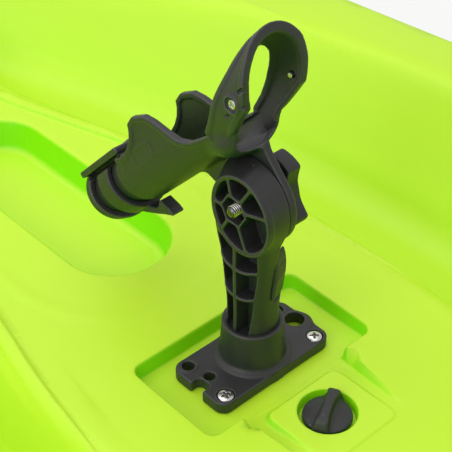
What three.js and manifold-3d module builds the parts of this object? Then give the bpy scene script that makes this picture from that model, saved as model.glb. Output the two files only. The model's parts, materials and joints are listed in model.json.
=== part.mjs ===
// Sit-on-top fishing kayak with its deck rod holder, built as separate pieces.
// Millimetres. +X points to the bow, +Y to port, +Z up. The origin lies under the middle of the hull.
import * as THREE from 'three';
import { mergeVertices } from 'three/addons/utils/BufferGeometryUtils.js';
import Module from 'manifold-3d';

const wasm = await Module();
wasm.setup();

// Sizes shared by every piece.
const gap = 0.3;
const overrun = 40;
const degree = Math.PI / 180;

// Hull: one hollow moulding.
const hull = {
  length: 3048, beam: 787, height: 300, wall: 4.2,
  bowRise: 62, sternRise: 42, bowKeel: 178, sternKeel: 138,
  rimWidth: 85, rimFall: 8, consoleHalf: 163,
  beadHeight: 3,
};
const planShares = [
  [-1, 0.025], [-0.985, 0.1], [-0.95, 0.22], [-0.85, 0.46], [-0.7, 0.7], [-0.5, 0.88], [-0.25, 0.975],
  [0, 1], [0.22, 1], [0.4, 0.93], [0.6, 0.76], [0.75, 0.565], [0.87, 0.36], [0.95, 0.18],
  [0.985, 0.085], [1, 0.025],
];
const keelShares = [
  [-1, 1], [-0.97, 0.6], [-0.9, 0.25], [-0.8, 0.07], [-0.66, 0], [0.62, 0], [0.78, 0.06], [0.9, 0.24],
  [0.97, 0.6], [1, 1],
];
const crownShares = [
  [-1, 0], [-0.95, 0.02], [-0.85, 0.045], [-0.76, 0.03], [-0.7, 0], [-0.28, 0], [-0.2, -0.03],
  [-0.1, -0.3], [0.1, -0.3], [0.5, -0.2], [0.62, 0], [0.7, 0.06], [0.85, 0.055], [0.95, 0.02], [1, 0],
];
const consoleShares = [
  [-1, 1], [0.24, 1], [0.3, 0.97], [0.37, 0.86], [0.427, 0.7], [0.5, 0.47], [0.56, 0.3], [0.62, 0.15], [1, 0.1],
];
const stationShares = [
  -1, -0.985, -0.95, -0.9, -0.83, -0.74, -0.64, -0.52, -0.4, -0.28, -0.2, -0.1,
  0.0, 0.08, 0.17, 0.24, 0.285, 0.35, 0.42, 0.48, 0.52, 0.57, 0.63, 0.71, 0.79,
  0.87, 0.93, 0.965, 0.985, 1,
];
const cavityStationShares = [
  -0.965, -0.9, -0.8, -0.64, -0.4, -0.2, -0.08, 0.04, 0.2, 0.285, 0.42, 0.52, 0.62, 0.76, 0.89, 0.965,
];
const cavitySkip = [1, 6, 10];
const cavityDeckSkip = [1, 2, 3, 4];
// Half of the bottom from keel to gunwale: share of the half beam, share of the depth.
const midBottomShares = [
  [0, 0], [0.09, 0], [0.16, 0.035], [0.3, 0.065], [0.43, 0.035], [0.5, 0], [0.63, 0], [0.76, 0.07],
  [0.88, 0.21], [0.96, 0.45], [1, 0.78], [0.995, 0.92],
];
const endBottomShares = [
  [0, 0], [0.07, 0.012], [0.16, 0.05], [0.28, 0.11], [0.4, 0.18], [0.5, 0.25], [0.62, 0.36], [0.74, 0.49],
  [0.85, 0.63], [0.93, 0.76], [1, 0.9], [0.995, 0.96],
];
const endBlendShares = [0.5, 0.93];
// Deck columns: share of the console half width, then share of the way up to the rim, then across the rim.
const consoleColumnShares = [0, 0.8, 0.84, 0.9, 0.94, 1];
const beadShares = [0, 0, 1, 1, 0, 0];
const slopeColumnShares = [0.22, 0.5, 0.78, 1];
const rimColumnShares = [0.5, 0.92];

// Console between the footwells, where the rod holder stands.
const holderX = 380;
const plateTop = 240;
// Height of the console along the hull: share of the half length, share of the hull's height.
const consoleTopShares = [
  [-0.02, 0.62], [0.0656, 0.69], [0.13, 0.748], [0.181, 0.79], [0.2185, 0.8085], [0.2776, 0.815],
  [0.328, 0.8267], [0.62, 0.8267],
];
const consoleBlendShares = [-0.08, 0.02, 0.51, 0.62];

// Pockets sunk into the deck: floor outline, floor height and slope, wall draft, floor fillet.
const seatWell = { back: -330, front: 82, half: 214, floor: 150, corner: 70, draft: 0.22, fillet: 16 };
const footwell = { start: 62, length: 840, floor: 150, slope: 0.078, draft: 0.34, fillet: 16 };
// Floor outline of the port footwell: share of its length, share of the half beam.
const footwellShares = [
  [0, 0.44], [0.229, 0.437], [0.424, 0.43], [0.526, 0.405], [0.619, 0.36], [0.704, 0.3], [0.78, 0.245],
  [0.86, 0.2], [0.93, 0.178], [0.98, 0.195], [1, 0.24], [0.985, 0.3], [0.93, 0.365], [0.85, 0.435],
  [0.76, 0.51], [0.66, 0.59], [0.54, 0.65], [0.4, 0.683], [0.229, 0.7], [0, 0.7],
];
const tray = { back: 497, front: 760, half: 46, floor: 203, draft: 0.1, fillet: 12 };
const recess = { back: -44, front: 41, half: 79.5, corner: 9, draft: 0.28, fillet: 3 };
const channel = { back: -118, front: -43, frontHalf: 50, backHalf: 42, floor: 237, slope: -0.093, draft: 0.28,
  fillet: 0 };
const drainPad = { back: -112, front: -51, half: 34, below: 4, corner: 5, rise: 12, flank: 6, edge: 1.5 };
const tankWell = { back: -1130, front: -505, backHalf: 128, frontHalf: 232, floor: 214, corner: 60,
  draft: 0.24, fillet: 18 };
const scupper = { radius: 11, wall: 4.2, sides: 8 };
const scupperShares = [[0.075, 0.52], [-0.62, 0.3]];

// Drain plug in its round recess.
const drain = { x: -77, recessRadius: 21, recessDepth: 9, capRadius: 18, capHeight: 4, domeHeight: 3,
  shankRadius: 9, shankLength: 20, gripLength: 42, gripWidth: 7.5, gripHeight: 11, gripTurn: -62,
  gasketRadius: 14, gasketThick: 1.5 };

// Rod holder base: plate and collar.
const plate = { along: 54, across: 107, thick: 10, corner: 9, holeAlong: 40, holeAcross: 90,
  holeRadius: 3.2, sinkRadius: 7.6, sinkDepth: 4, notchWidth: 12, notchDepth: 9,
  pilotRadius: 3.4, pilotAcross: 41, eyeRadius: 6.5, eyeBar: 4.5, eyeAcross: 48 };
const collar = { radius: 24.5, height: 33, wall: 4.5, flare: 4, floor: 6, drainRadius: 4 };
const screw = { headRadius: 6.2, headHeight: 3.8, shankRadius: 2.8, length: 30, slot: 2, slotDepth: 2,
  slotLength: 7.4 };
const insert = { radius: 6, length: 16, wallGap: 0.35 };

// Post: round spigot in the collar, leg that widens to the pivot head.
const post = { spigotGap: 0.35, headRadius: 33, headPort: 20, headStarboard: 1, faceHalfAlong: 27, faceHalfUp: 31,
  faceShift: -6.5, faceDrop: 1, pivotHeight: 140, cutDepth: 15, rib: 2.6, rim: 3.4, hubRadius: 10.4,
  lowWindow: 37, highWindow: 112, lowHalf: 11.5, highHalf: 15.5, ribArc: 3, stepRoom: 1.2, stepRun: 26 };
const legShares = [
  [0, 1, 1, 2], [0.22, 1, 1, 2], [0.4, 1.03, 0.99, 2.3], [0.58, 1.12, 0.98, 2.8], [0.76, 1.27, 0.97, 3.4],
  [0.9, 1.4, 0.97, 4],
];
const windowRibShares = [0.4, 0.74];
// Directions of the ribs from the hub: shares of a full turn from the bow, through straight up.
const spokeShares = [0.208, 0.339, 0.454, 0.683, 0.828, 0.992];
const nut = { flatRadius: 7.2, thick: 6, seat: 6.5 };
const lever = { low: 60, high: 106, width: 15, thick: 3.4, turn: 200, standoff: 0.5, lip: 3, foot: 6 };

// Cradle: s runs along the tube to the hoop, n is up from the tube's bottom line, both from the pivot's foot.
const cradle = { tilt: 46, radius: 24, wall: 3.2, pivotDrop: 34.5, butt: -162, bodyEnd: -107, neckRadius: 21,
  rimLength: 4, hoopRadius: 27.5, hoopStart: 18, hoopFull: 62, hoopEnd: 112, wallTop: 56, earThick: 6,
  earRadius: 33, pinRadius: 3, pinS: 69, pinN: 23, pinBoss: 6.5, pinBossHeight: 1.6, flangeStart: -162,
  flangeEnd: -96, flangeHalf: 22, flangeLow: 40.5, noseRadii: [15, 9, 17], noseS: 29, noseN: 5 };
// Side profile that trims the cradle: shares of the tube's radius, along s and up n.
const cradleProfileShares = [
  [-7.5, -0.8], [1.54, -0.8], [1.6, 0.0], [2.1, 0.28], [3.08, 0.56], [3.83, 0.96], [4.29, 1.62], [4.5, 2.25],
  [3.75, 2.25], [3.6, 2.08], [3.0, 1.77], [2.1, 1.4], [1.4, 0.98], [0.96, 0.8], [0.9, 0.66], [-0.04, 0.8],
  [-0.4, 1.0], [-0.71, 1.34], [-1.1, 1.86], [-1.42, 2.16], [-2.0, 2.34], [-2.4, 2.3], [-2.66, 2.12],
  [-2.86, 1.86], [-3.1, 1.72], [-3.45, 1.75], [-3.6, 2.3], [-7.5, 2.3],
];
const clip = { start: -155, end: -120, outer: 26, topN: 38, strapEnd: -90, strapHalf: 6, strapThick: 3,
  finHalf: 2.5, finHole: 1.8 };
// Fin under the clip: share of the tube's radius along s and up n.
const finShares = [[-4.62, -0.06], [-3.8, -0.06], [-3.7, -0.7], [-4.28, -0.68], [-4.52, -0.32]];
const finHoleShares = [-4.1, -0.38];
const washer = { radius: 12, thick: 1.2 };
const knob = { radius: 29, thick: 12, lobes: 3, lobeDepth: 0.57, lobeTurn: 105, boss: 5, bossRadius: 10 };
const stud = { radius: 4, proud: 2 };

// Seat, handles, hatches and rear rod tubes.
const seat = { cushionLength: 296, cushionWidth: 372, cushionThick: 34, cushionStart: 34, cushionCorner: 60,
  cushionCrown: 9, backWidth: 386, backHeight: 262, backThick: 11, backSag: 20, neckShare: 0.09,
  shoulderShare: 0.34, padThick: 26, padInset: 14, lean: 13, hingeX: -274, hingeRise: 30, hingeHalf: 160,
  pinRadius: 6, bracketWidth: 12, bracketLength: 46, bracketBase: 5, hubRadius: 13, lugWidth: 11 };
const hatch = { alongShare: 0.705, radius: 92, mouth: 72, flange: 6, spigot: 20, sink: 9,
  lidThick: 7, lidRadius: 82, lidGap: 0.5, gripLength: 92, gripWidth: 13, gripHeight: 12, gasket: 2.4, sides: 24,
  boreWall: 3 };
const rodTube = { x: -440, y: 255, radius: 24, wall: 2.6, lean: 24, length: 205, flangeAlong: 116,
  flangeAcross: 78, flangeThick: 4.5, sink: 2 };
const handle = { alongShare: 0.93, baseLength: 46, baseWidth: 74, baseThick: 5, sink: 5,
  ear: 6, earHalf: 14, axisRise: 11, barRadius: 4.5, gripRadius: 10, reach: 62, gripSpan: 84, margin: 6 };

const lime = { color: 0xc4ee3c, roughness: 0.42, metalness: 0 };
const black = { color: 0x2b2c2b, roughness: 0.5, metalness: 0 };
const steel = { color: 0xc9c6bf, roughness: 0.25, metalness: 1 };
const rubber = { color: 0x1b1b1b, roughness: 0.85, metalness: 0 };
const brass = { color: 0xb59a4c, roughness: 0.35, metalness: 1 };
const fabric = { color: 0x2e3032, roughness: 0.95, metalness: 0 };

const kayak = new THREE.Group();
kayak.name = 'fishing_kayak';

// Shared tools.
const smooth = (t) => {
  const c = Math.min(1, Math.max(0, t));
  return c * c * (3 - 2 * c);
};
const mix = (a, b, t) => a + (b - a) * t;
const ramp = (value, low, high) => smooth((value - low) / (high - low));

// Smooth curve through a table of pairs that never overshoots them.
function through(table) {
  const x = table.map((row) => row[0]);
  const y = table.map((row) => row[1]);
  const steps = x.slice(1).map((v, i) => (y[i + 1] - y[i]) / (v - x[i]));
  const tangents = x.map((v, i) => {
    if (i === 0) return steps[0];
    if (i === x.length - 1) return steps[i - 1];
    if (steps[i - 1] * steps[i] <= 0) return 0;
    return 2 * steps[i - 1] * steps[i] / (steps[i - 1] + steps[i]);
  });
  return (v) => {
    if (v <= x[0]) return y[0];
    if (v >= x[x.length - 1]) return y[y.length - 1];
    const i = x.findIndex((edge, k) => k < x.length - 1 && v <= x[k + 1]);
    const h = x[i + 1] - x[i];
    const t = (v - x[i]) / h;
    const t2 = t * t;
    const t3 = t2 * t;
    return y[i] * (2 * t3 - 3 * t2 + 1) + h * tangents[i] * (t3 - 2 * t2 + t)
      + y[i + 1] * (3 * t2 - 2 * t3) + h * tangents[i + 1] * (t3 - t2);
  };
}

function signedVolume(position, index) {
  const a = new THREE.Vector3();
  const b = new THREE.Vector3();
  const c = new THREE.Vector3();
  let sum = 0;
  for (let i = 0; i < index.length; i += 3) {
    a.fromArray(position, 3 * index[i]);
    b.fromArray(position, 3 * index[i + 1]);
    c.fromArray(position, 3 * index[i + 2]);
    sum += a.dot(b.cross(c));
  }
  return sum / 6;
}

function meshFrom(position, index) {
  const faces = signedVolume(position, index) < 0
    ? index.map((v, i) => index[i - i % 3 + 2 - i % 3])
    : index;
  const geometry = new THREE.BufferGeometry();
  geometry.setAttribute('position', new THREE.Float32BufferAttribute(position, 3));
  geometry.setIndex(faces);
  return geometry;
}

// Closed skin over a row of rings with equal counts, closed at both ends by a fan about the middle.
function loft(rings) {
  const count = rings[0].length;
  const position = rings.flat(2);
  const index = [];
  for (let r = 0; r < rings.length - 1; r += 1) {
    for (let i = 0; i < count; i += 1) {
      const a = r * count + i;
      const b = r * count + (i + 1) % count;
      index.push(a, b, b + count, a, b + count, a + count);
    }
  }
  const cap = (ring, first, forward) => {
    const centre = position.length / 3;
    position.push(...[0, 1, 2].map((k) => ring.reduce((sum, p) => sum + p[k], 0) / count));
    ring.forEach((p, i) => {
      const next = (i + 1) % count;
      index.push(centre, first + (forward ? i : next), first + (forward ? next : i));
    });
  };
  cap(rings[0], 0, false);
  cap(rings[rings.length - 1], (rings.length - 1) * count, true);
  return meshFrom(position, index);
}

function solid(geometry) {
  const plain = geometry.clone();
  plain.deleteAttribute('normal');
  plain.deleteAttribute('uv');
  const merged = mergeVertices(plain, 1e-4);
  const index = [];
  for (let i = 0; i < merged.index.count; i += 3) {
    const face = [0, 1, 2].map((k) => merged.index.getX(i + k));
    if (new Set(face).size === 3) index.push(...face);
  }
  return new wasm.Manifold(new wasm.Mesh({
    numProp: 3,
    vertProperties: new Float32Array(merged.attributes.position.array),
    triVerts: new Uint32Array(index),
  }));
}

function geometryOf(manifold) {
  const mesh = manifold.getMesh();
  const geometry = new THREE.BufferGeometry();
  geometry.setAttribute('position', new THREE.BufferAttribute(mesh.vertProperties, 3));
  geometry.setIndex(new THREE.BufferAttribute(mesh.triVerts, 1));
  return geometry;
}

const joined = (...parts) => parts.reduce((sum, part) => sum.add(part));
const cut = (body, ...tools) => tools.reduce((left, tool) => left.subtract(tool), body);

function add(name, manifold, look, place) {
  const geometry = geometryOf(manifold);
  geometry.computeVertexNormals();
  const mesh = new THREE.Mesh(geometry, new THREE.MeshStandardMaterial(look));
  mesh.name = name;
  (place || kayak).add(mesh);
  return mesh;
}

function moved(geometry, x, y, z) {
  geometry.translate(x, y, z);
  return geometry;
}

// Block between two corners.
function block(x0, x1, y0, y1, z0, z1) {
  const box = new THREE.BoxGeometry(x1 - x0, y1 - y0, z1 - z0);
  return solid(moved(box, (x0 + x1) / 2, (y0 + y1) / 2, (z0 + z1) / 2));
}

// Round bar along z.
function barZ(radius, z0, z1, x = 0, y = 0, sides = 16) {
  const bar = new THREE.CylinderGeometry(radius, radius, z1 - z0, sides);
  bar.rotateX(Math.PI / 2);
  return solid(moved(bar, x, y, (z0 + z1) / 2));
}

// Round bar along y.
function barY(radius, y0, y1, x = 0, z = 0, sides = 16) {
  const bar = new THREE.CylinderGeometry(radius, radius, y1 - y0, sides);
  return solid(moved(bar, x, (y0 + y1) / 2, z));
}

// Round bar along x.
function barX(radius, x0, x1, y = 0, z = 0, sides = 12) {
  const bar = new THREE.CylinderGeometry(radius, radius, x1 - x0, sides);
  bar.rotateZ(Math.PI / 2);
  return solid(moved(bar, (x0 + x1) / 2, y, z));
}

// Body turned about z from a closed profile of radius and height.
function turned(profile, sides = 24) {
  return solid(new THREE.LatheGeometry(profile.map((p) => new THREE.Vector2(p[0], p[1])), sides)
    .rotateX(Math.PI / 2));
}

// Straight body from an outline in x and y, standing between two heights.
function prismZ(outline, z0, z1) {
  const shape = new THREE.Shape(outline.map((p) => new THREE.Vector2(p[0], p[1])));
  const body = new THREE.ExtrudeGeometry(shape, { depth: z1 - z0, bevelEnabled: false });
  return solid(moved(body, 0, 0, z0));
}

// Straight body from an outline in x and z, lying between two places on y.
function prismY(outline, y0, y1) {
  const shape = new THREE.Shape(outline.map((p) => new THREE.Vector2(p[0], p[1])));
  const body = new THREE.ExtrudeGeometry(shape, { depth: y1 - y0, bevelEnabled: false });
  body.rotateX(Math.PI / 2);
  return solid(moved(body, 0, y1, 0));
}

function arc(cx, cy, radius, from, to, steps) {
  return Array.from({ length: steps + 1 }, (_, i) => {
    const a = (from + (to - from) * i / steps) * degree;
    return [cx + radius * Math.cos(a), cy + radius * Math.sin(a)];
  });
}

// Rectangle with round corners, anticlockwise.
function roundedRect(x0, x1, y0, y1, r, steps = 3) {
  return [
    ...arc(x1 - r, y1 - r, r, 0, 90, steps),
    ...arc(x0 + r, y1 - r, r, 90, 180, steps),
    ...arc(x0 + r, y0 + r, r, 180, 270, steps),
    ...arc(x1 - r, y0 + r, r, 270, 360, steps),
  ];
}

// Outline moved outwards by a distance, corner by corner.
function offset(outline, distance) {
  const area = THREE.ShapeUtils.area(outline.map((p) => new THREE.Vector2(...p)));
  const side = Math.sign(area) * distance;
  return outline.map((p, i) => {
    const before = outline[(i + outline.length - 1) % outline.length];
    const after = outline[(i + 1) % outline.length];
    const u = new THREE.Vector2(p[0] - before[0], p[1] - before[1]).normalize();
    const v = new THREE.Vector2(after[0] - p[0], after[1] - p[1]).normalize();
    const n = new THREE.Vector2(u.y + v.y, -u.x - v.x).normalize();
    const stretch = Math.max(n.x * u.y - n.y * u.x, 1 / 2);
    return [p[0] + n.x * side / stretch, p[1] + n.y * side / stretch];
  });
}

// Pocket to cut from the deck: walls lean out by the draft, floor edge rounded by the fillet.
function pocket(outline, form, top, grow = 0) {
  const floor = (x) => form.floor - grow + (form.slope || 0) * (x - (form.start || 0));
  const ring = (out, rise) => offset(outline, grow + out).map((p) => [p[0], p[1], floor(p[0]) + rise]);
  const high = offset(outline, grow + form.draft * (top - form.floor)).map((p) => [p[0], p[1], top + grow]);
  const f = grow > 0 ? 0 : form.fillet;
  const rings = f > 0 ? [ring(-f * 0.8, 0), ring(0, f), high] : [ring(0, 0), high];
  return solid(loft(rings));
}

// Hull lines.
const halfLength = hull.length / 2;
const hatchX = hatch.alongShare * halfLength;
const handleX = [1, -1].map((end) => end * handle.alongShare * halfLength);
const planCurve = through(planShares);
const keelCurve = through(keelShares);
const crownCurve = through(crownShares);
const consoleCurve = through(consoleShares);
const consoleTopCurve = through(consoleTopShares);

const halfBeam = (x) => hull.beam / 2 * planCurve(x / halfLength);
const sheer = (x) => {
  const u = x / halfLength;
  return hull.height + (u > 0 ? hull.bowRise : hull.sternRise) * u * u;
};
const keel = (x) => (x > 0 ? hull.bowKeel : hull.sternKeel) * keelCurve(x / halfLength);
const rimStart = (x) => Math.max(halfBeam(x) - hull.rimWidth, halfBeam(x) * 0.72);
const consoleEdge = (x) => Math.min(hull.consoleHalf * consoleCurve(x / halfLength), rimStart(x) * 0.7);

function centreHeight(x) {
  const u = x / halfLength;
  const [aft, low, high, fore] = consoleBlendShares;
  const weight = ramp(u, aft, low) * (1 - ramp(u, high, fore));
  return mix(sheer(x) + crownCurve(u) * hull.height, hull.height * consoleTopCurve(u), weight);
}

function deckHeight(x, y) {
  const side = Math.abs(y);
  const edge = consoleEdge(x);
  const rim = rimStart(x);
  if (side <= rim) return mix(centreHeight(x), sheer(x), smooth((side - edge) / (rim - edge)));
  const t = (side - rim) / (halfBeam(x) - rim);
  return sheer(x) - hull.rimFall * t * t;
}

// One closed ring of the outside at a station: bottom, then deck, with or without the console bead.
function stationRing(x, bead) {
  const u = Math.abs(x / halfLength);
  const blend = ramp(u, ...endBlendShares);
  const half = halfBeam(x);
  const depth = sheer(x) - keel(x);
  const bottom = midBottomShares.map((mid, i) => {
    const end = endBottomShares[i];
    return [half * mix(mid[0], end[0], blend), keel(x) + depth * mix(mid[1], end[1], blend)];
  });
  const edge = consoleEdge(x);
  const rim = rimStart(x);
  const beadWeight = ramp(x / halfLength, ...consoleBlendShares.slice(0, 2))
    * (1 - ramp(x / halfLength, ...consoleBlendShares.slice(2)));
  const deck = [
    ...consoleColumnShares.map((s, i) => [edge * s, bead ? beadShares[i] * hull.beadHeight * beadWeight : 0]),
    ...slopeColumnShares.map((s) => [mix(edge, rim, s), 0]),
    ...rimColumnShares.map((s) => [mix(rim, half, s), 0]),
  ].map(([y, rise]) => [y, deckHeight(x, y) + rise]);
  const lean = (rows, skip) => (bead ? rows : rows.filter((row, i) => !skip.includes(i)));
  const port = [...lean(bottom, cavitySkip), ...lean(deck, cavityDeckSkip).reverse()];
  const starboard = port.slice(1, -1).reverse().map(([y, z]) => [-y, z]);
  return [...port, ...starboard];
}

const stations = stationShares.map((s) => s * halfLength);
const outside = solid(loft(
  stations.map((x) => stationRing(x, true).map(([y, z]) => [x, y, z]))));
const inside = solid(loft(cavityStationShares.map((s) => offset(stationRing(s * halfLength, false), -hull.wall)
  .map(([y, z]) => [s * halfLength, y, z]))));

// Pockets in the deck.
const skyline = hull.height + hull.bowRise + overrun;
const seatOutline = roundedRect(seatWell.back, seatWell.front, -seatWell.half, seatWell.half, seatWell.corner);
const footOutline = footwellShares.map(([s, t]) => [footwell.start + s * footwell.length, t * hull.beam / 2]);
const trayOutline = roundedRect(tray.back, tray.front, -tray.half, tray.half, tray.half, 6);
const recessFloor = plateTop - plate.thick;
const recessOutline = roundedRect(holderX + recess.back, holderX + recess.front, -recess.half, recess.half,
  recess.corner);
const channelOutline = [
  [channel.front, -channel.frontHalf], [channel.front, channel.frontHalf], [channel.back, channel.backHalf],
  [channel.back, -channel.backHalf],
].map(([x, y]) => [holderX + x, y]);
const tankOutline = [
  [tankWell.front - tankWell.corner / 2, tankWell.frontHalf], [tankWell.back + tankWell.corner, tankWell.backHalf],
].flatMap(([x, y], i) => (i === 0
  ? arc(x - tankWell.corner / 2, y - tankWell.corner, tankWell.corner, 0, 80, 3)
  : arc(x, y - tankWell.corner, tankWell.corner, 100, 180, 3)));
const tankRound = [...tankOutline, ...tankOutline.slice().reverse().map(([x, y]) => [x, -y])];
const hatchFloor = centreHeight(hatchX) - hatch.sink;
const tubeFloor = deckHeight(rodTube.x, rodTube.y) - rodTube.sink;
const handleFloors = handleX.map((x) => centreHeight(x) - handle.sink);

const plainWall = { draft: 0, fillet: 0 };
const circle = (x, y, radius, sides) => arc(x, y, radius, 0, 360 - 360 / sides, sides - 1);
const mirrored = (outline) => outline.map(([x, y]) => [x, -y]).reverse();
const tubeOutline = (side) => roundedRect(rodTube.x - rodTube.flangeAlong / 2 - gap, rodTube.x
  + rodTube.flangeAlong / 2 + gap, side * rodTube.y - rodTube.flangeAcross / 2 - gap, side * rodTube.y
  + rodTube.flangeAcross / 2 + gap, rodTube.flangeAcross / 2 + gap, 4);
const handleOutline = (x) => roundedRect(x - handle.baseLength / 2 - gap, x + handle.baseLength / 2 + gap,
  -handle.baseWidth / 2 - gap, handle.baseWidth / 2 + gap, handle.margin);

const pockets = [
  [seatOutline, seatWell],
  [footOutline, footwell],
  [mirrored(footOutline), footwell],
  [trayOutline, tray],
  [recessOutline, { ...recess, floor: recessFloor }],
  [channelOutline, { ...channel, start: holderX + channel.back }],
  [tankRound, tankWell],
  [circle(hatchX, 0, hatch.radius + gap, hatch.sides), { ...plainWall, floor: hatchFloor }],
  [tubeOutline(1), { ...plainWall, floor: tubeFloor }],
  [tubeOutline(-1), { ...plainWall, floor: tubeFloor }],
  [handleOutline(handleX[0]), { ...plainWall, floor: handleFloors[0] }],
  [handleOutline(handleX[1]), { ...plainWall, floor: handleFloors[1] }],
];

// Raised pad in the channel behind the recess, with the drain plug's round seat.
const padTop = plateTop - drainPad.below;
const padOutline = roundedRect(holderX + drainPad.back, holderX + drainPad.front, -drainPad.half,
  drainPad.half, drainPad.corner, 2);
const pad = solid(loft([
  offset(padOutline, drainPad.flank).map((p) => [...p, padTop - drainPad.rise]),
  padOutline.map((p) => [...p, padTop - drainPad.edge]),
  offset(padOutline, -drainPad.edge).map((p) => [...p, padTop]),
]));
const drainX = holderX + drain.x;
const drainFloor = padTop - drain.recessDepth;

// Tubes through the hull that let water off the deck.
const scupperPlaces = scupperShares.flatMap(([s, t]) => [1, -1].map((side) => [s * halfLength,
  side * t * hull.beam / 2]));
const scupperTubes = scupperPlaces.map(([x, y]) => barZ(scupper.radius + scupper.wall, -overrun, skyline, x, y,
  scupper.sides));
const scupperHoles = scupperPlaces.map(([x, y]) => barZ(scupper.radius, -overrun, skyline, x, y, scupper.sides));

const rodTubeBody = (side, radius, extra, shorter = 0) => {
  const bar = new THREE.CylinderGeometry(radius, radius, rodTube.length - shorter + extra, 14);
  bar.rotateX(Math.PI / 2);
  bar.translate(0, 0, (extra + shorter - rodTube.length) / 2);
  bar.rotateY(-rodTube.lean * degree);
  bar.translate(rodTube.x, side * rodTube.y, tubeFloor);
  return solid(bar);
};

const cavity = cut(
  pockets.reduce((left, [outline, form]) => left.subtract(pocket(outline, form, skyline, hull.wall)), inside),
  ...scupperTubes,
  barZ(drain.recessRadius + hull.wall, drainFloor - hull.wall, skyline, drainX, 0),
);
const screwPlaces = [[-1, 1], [-1, -1]].map(([i, j]) => [holderX + i * plate.holeAlong / 2, j * plate.holeAcross / 2]);
const hullBody = cut(
  joined(pockets.reduce((left, [outline, form]) => left.subtract(pocket(outline, form, skyline)), outside), pad),
  barZ(drain.recessRadius, drainFloor, skyline, drainX, 0),
  barZ(drain.shankRadius + gap, drainFloor - overrun, skyline, drainX, 0),
  ...scupperHoles,
  ...screwPlaces.map(([x, y]) => barZ(insert.radius + insert.wallGap, recessFloor - insert.length, skyline, x, y)),
  barZ(hatch.mouth + hatch.boreWall + gap, hatchFloor - overrun, skyline, hatchX, 0, hatch.sides),
  rodTubeBody(1, rodTube.radius + rodTube.wall + gap, overrun),
  rodTubeBody(-1, rodTube.radius + rodTube.wall + gap, overrun),
  cavity,
);
add('hull', hullBody, lime);

// Drain plug.
const drainSeat = new THREE.Group();
drainSeat.position.set(drainX, 0, drainFloor);
kayak.add(drainSeat);
const plugBase = drain.gasketThick + 2 * gap;
const plugTop = plugBase + drain.capHeight + drain.domeHeight;
const plugShank = [
  [0, plugBase - drain.shankLength], [drain.shankRadius - hull.beadHeight / 2, plugBase - drain.shankLength],
  [drain.shankRadius, plugBase - drain.shankLength + hull.beadHeight / 2], [drain.shankRadius, plugBase],
  [drain.capRadius, plugBase], [drain.capRadius, plugBase + drain.capHeight],
  [drain.capRadius * 0.86, plugBase + drain.capHeight + drain.domeHeight * 0.6],
  [drain.capRadius * 0.5, plugTop], [0, plugTop],
];
const gripRings = [[0, 1, 1], [0.5, 0.97, 0.85], [0.85, 0.86, 0.62], [1, 0.72, 0.3]].map(([rise, long, wide]) => {
  const z = plugBase + drain.capHeight / 2 + rise * (drain.gripHeight + drain.capHeight / 2);
  const l = drain.gripLength / 2 * long;
  const w = drain.gripWidth / 2 * wide;
  return roundedRect(-l, l, -w, w, w * 0.9, 2).map((p) => [...p, z]);
});
const grip = solid(loft(gripRings).rotateZ(drain.gripTurn * degree));
add('drain_plug', joined(turned(plugShank, 20), grip.intersect(barZ(drain.recessRadius - gap, 0, skyline))), black,
  drainSeat);
add('drain_gasket', turned([
  [drain.shankRadius + gap, gap], [drain.gasketRadius, gap], [drain.gasketRadius, gap + drain.gasketThick],
  [drain.shankRadius + gap, gap + drain.gasketThick], [drain.shankRadius + gap, gap],
], 16), rubber, drainSeat);

// Rod holder base.
const holder = new THREE.Group();
holder.position.set(holderX, 0, plateTop);
kayak.add(holder);

const plateX = plate.along / 2;
const plateY = plate.across / 2;
const holeX = plate.holeAlong / 2;
const holeY = plate.holeAcross / 2;
const plateBottom = -plate.thick + gap;
const plateBody = prismZ(roundedRect(-plateX, plateX, -plateY, plateY, plate.corner), plateBottom, 0);
const eyeRing = barZ(plate.eyeRadius + plate.eyeBar, plateBottom, 0, 0, -plate.eyeAcross);
const collarBody = turned([
  [0, plateBottom], [collar.radius + collar.flare, plateBottom], [collar.radius + collar.flare, 0],
  [collar.radius + collar.flare * 0.3, collar.flare * 0.3], [collar.radius, collar.flare],
  [collar.radius, collar.height - collar.wall / 4], [collar.radius - collar.wall / 4, collar.height],
  [0, collar.height],
]);
const holeCorners = [[1, 1], [1, -1], [-1, 1], [-1, -1]];
const baseCuts = holeCorners.flatMap(([i, j]) => [
  barZ(plate.holeRadius, plateBottom - overrun, overrun, i * holeX, j * holeY, 10),
  barZ(plate.sinkRadius, -plate.sinkDepth, overrun / 2, i * holeX, j * holeY, 12),
]);
const boreRadius = collar.radius - collar.wall;
add('rod_base', cut(
  joined(plateBody, eyeRing, collarBody),
  ...baseCuts,
  barZ(boreRadius, collar.floor - plate.thick, collar.height + overrun, 0, 0, 24),
  barZ(collar.drainRadius, plateBottom - overrun, collar.height, 0, 0, 8),
  prismZ(roundedRect(-plate.notchWidth / 2, plate.notchWidth / 2, plateY - plate.notchDepth, plateY + overrun,
    plate.notchWidth / 3), plateBottom - overrun, overrun / 2),
  barZ(plate.pilotRadius, plateBottom - overrun, overrun / 2, 0, plate.pilotAcross - plate.pilotRadius, 10),
  barZ(plate.pilotRadius, plateBottom - overrun, overrun / 2, 0, plate.pilotRadius - plate.pilotAcross, 10),
  barZ(plate.eyeRadius, plateBottom - overrun, overrun / 2, 0, -plate.eyeAcross, 14),
), black, holder);

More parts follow.
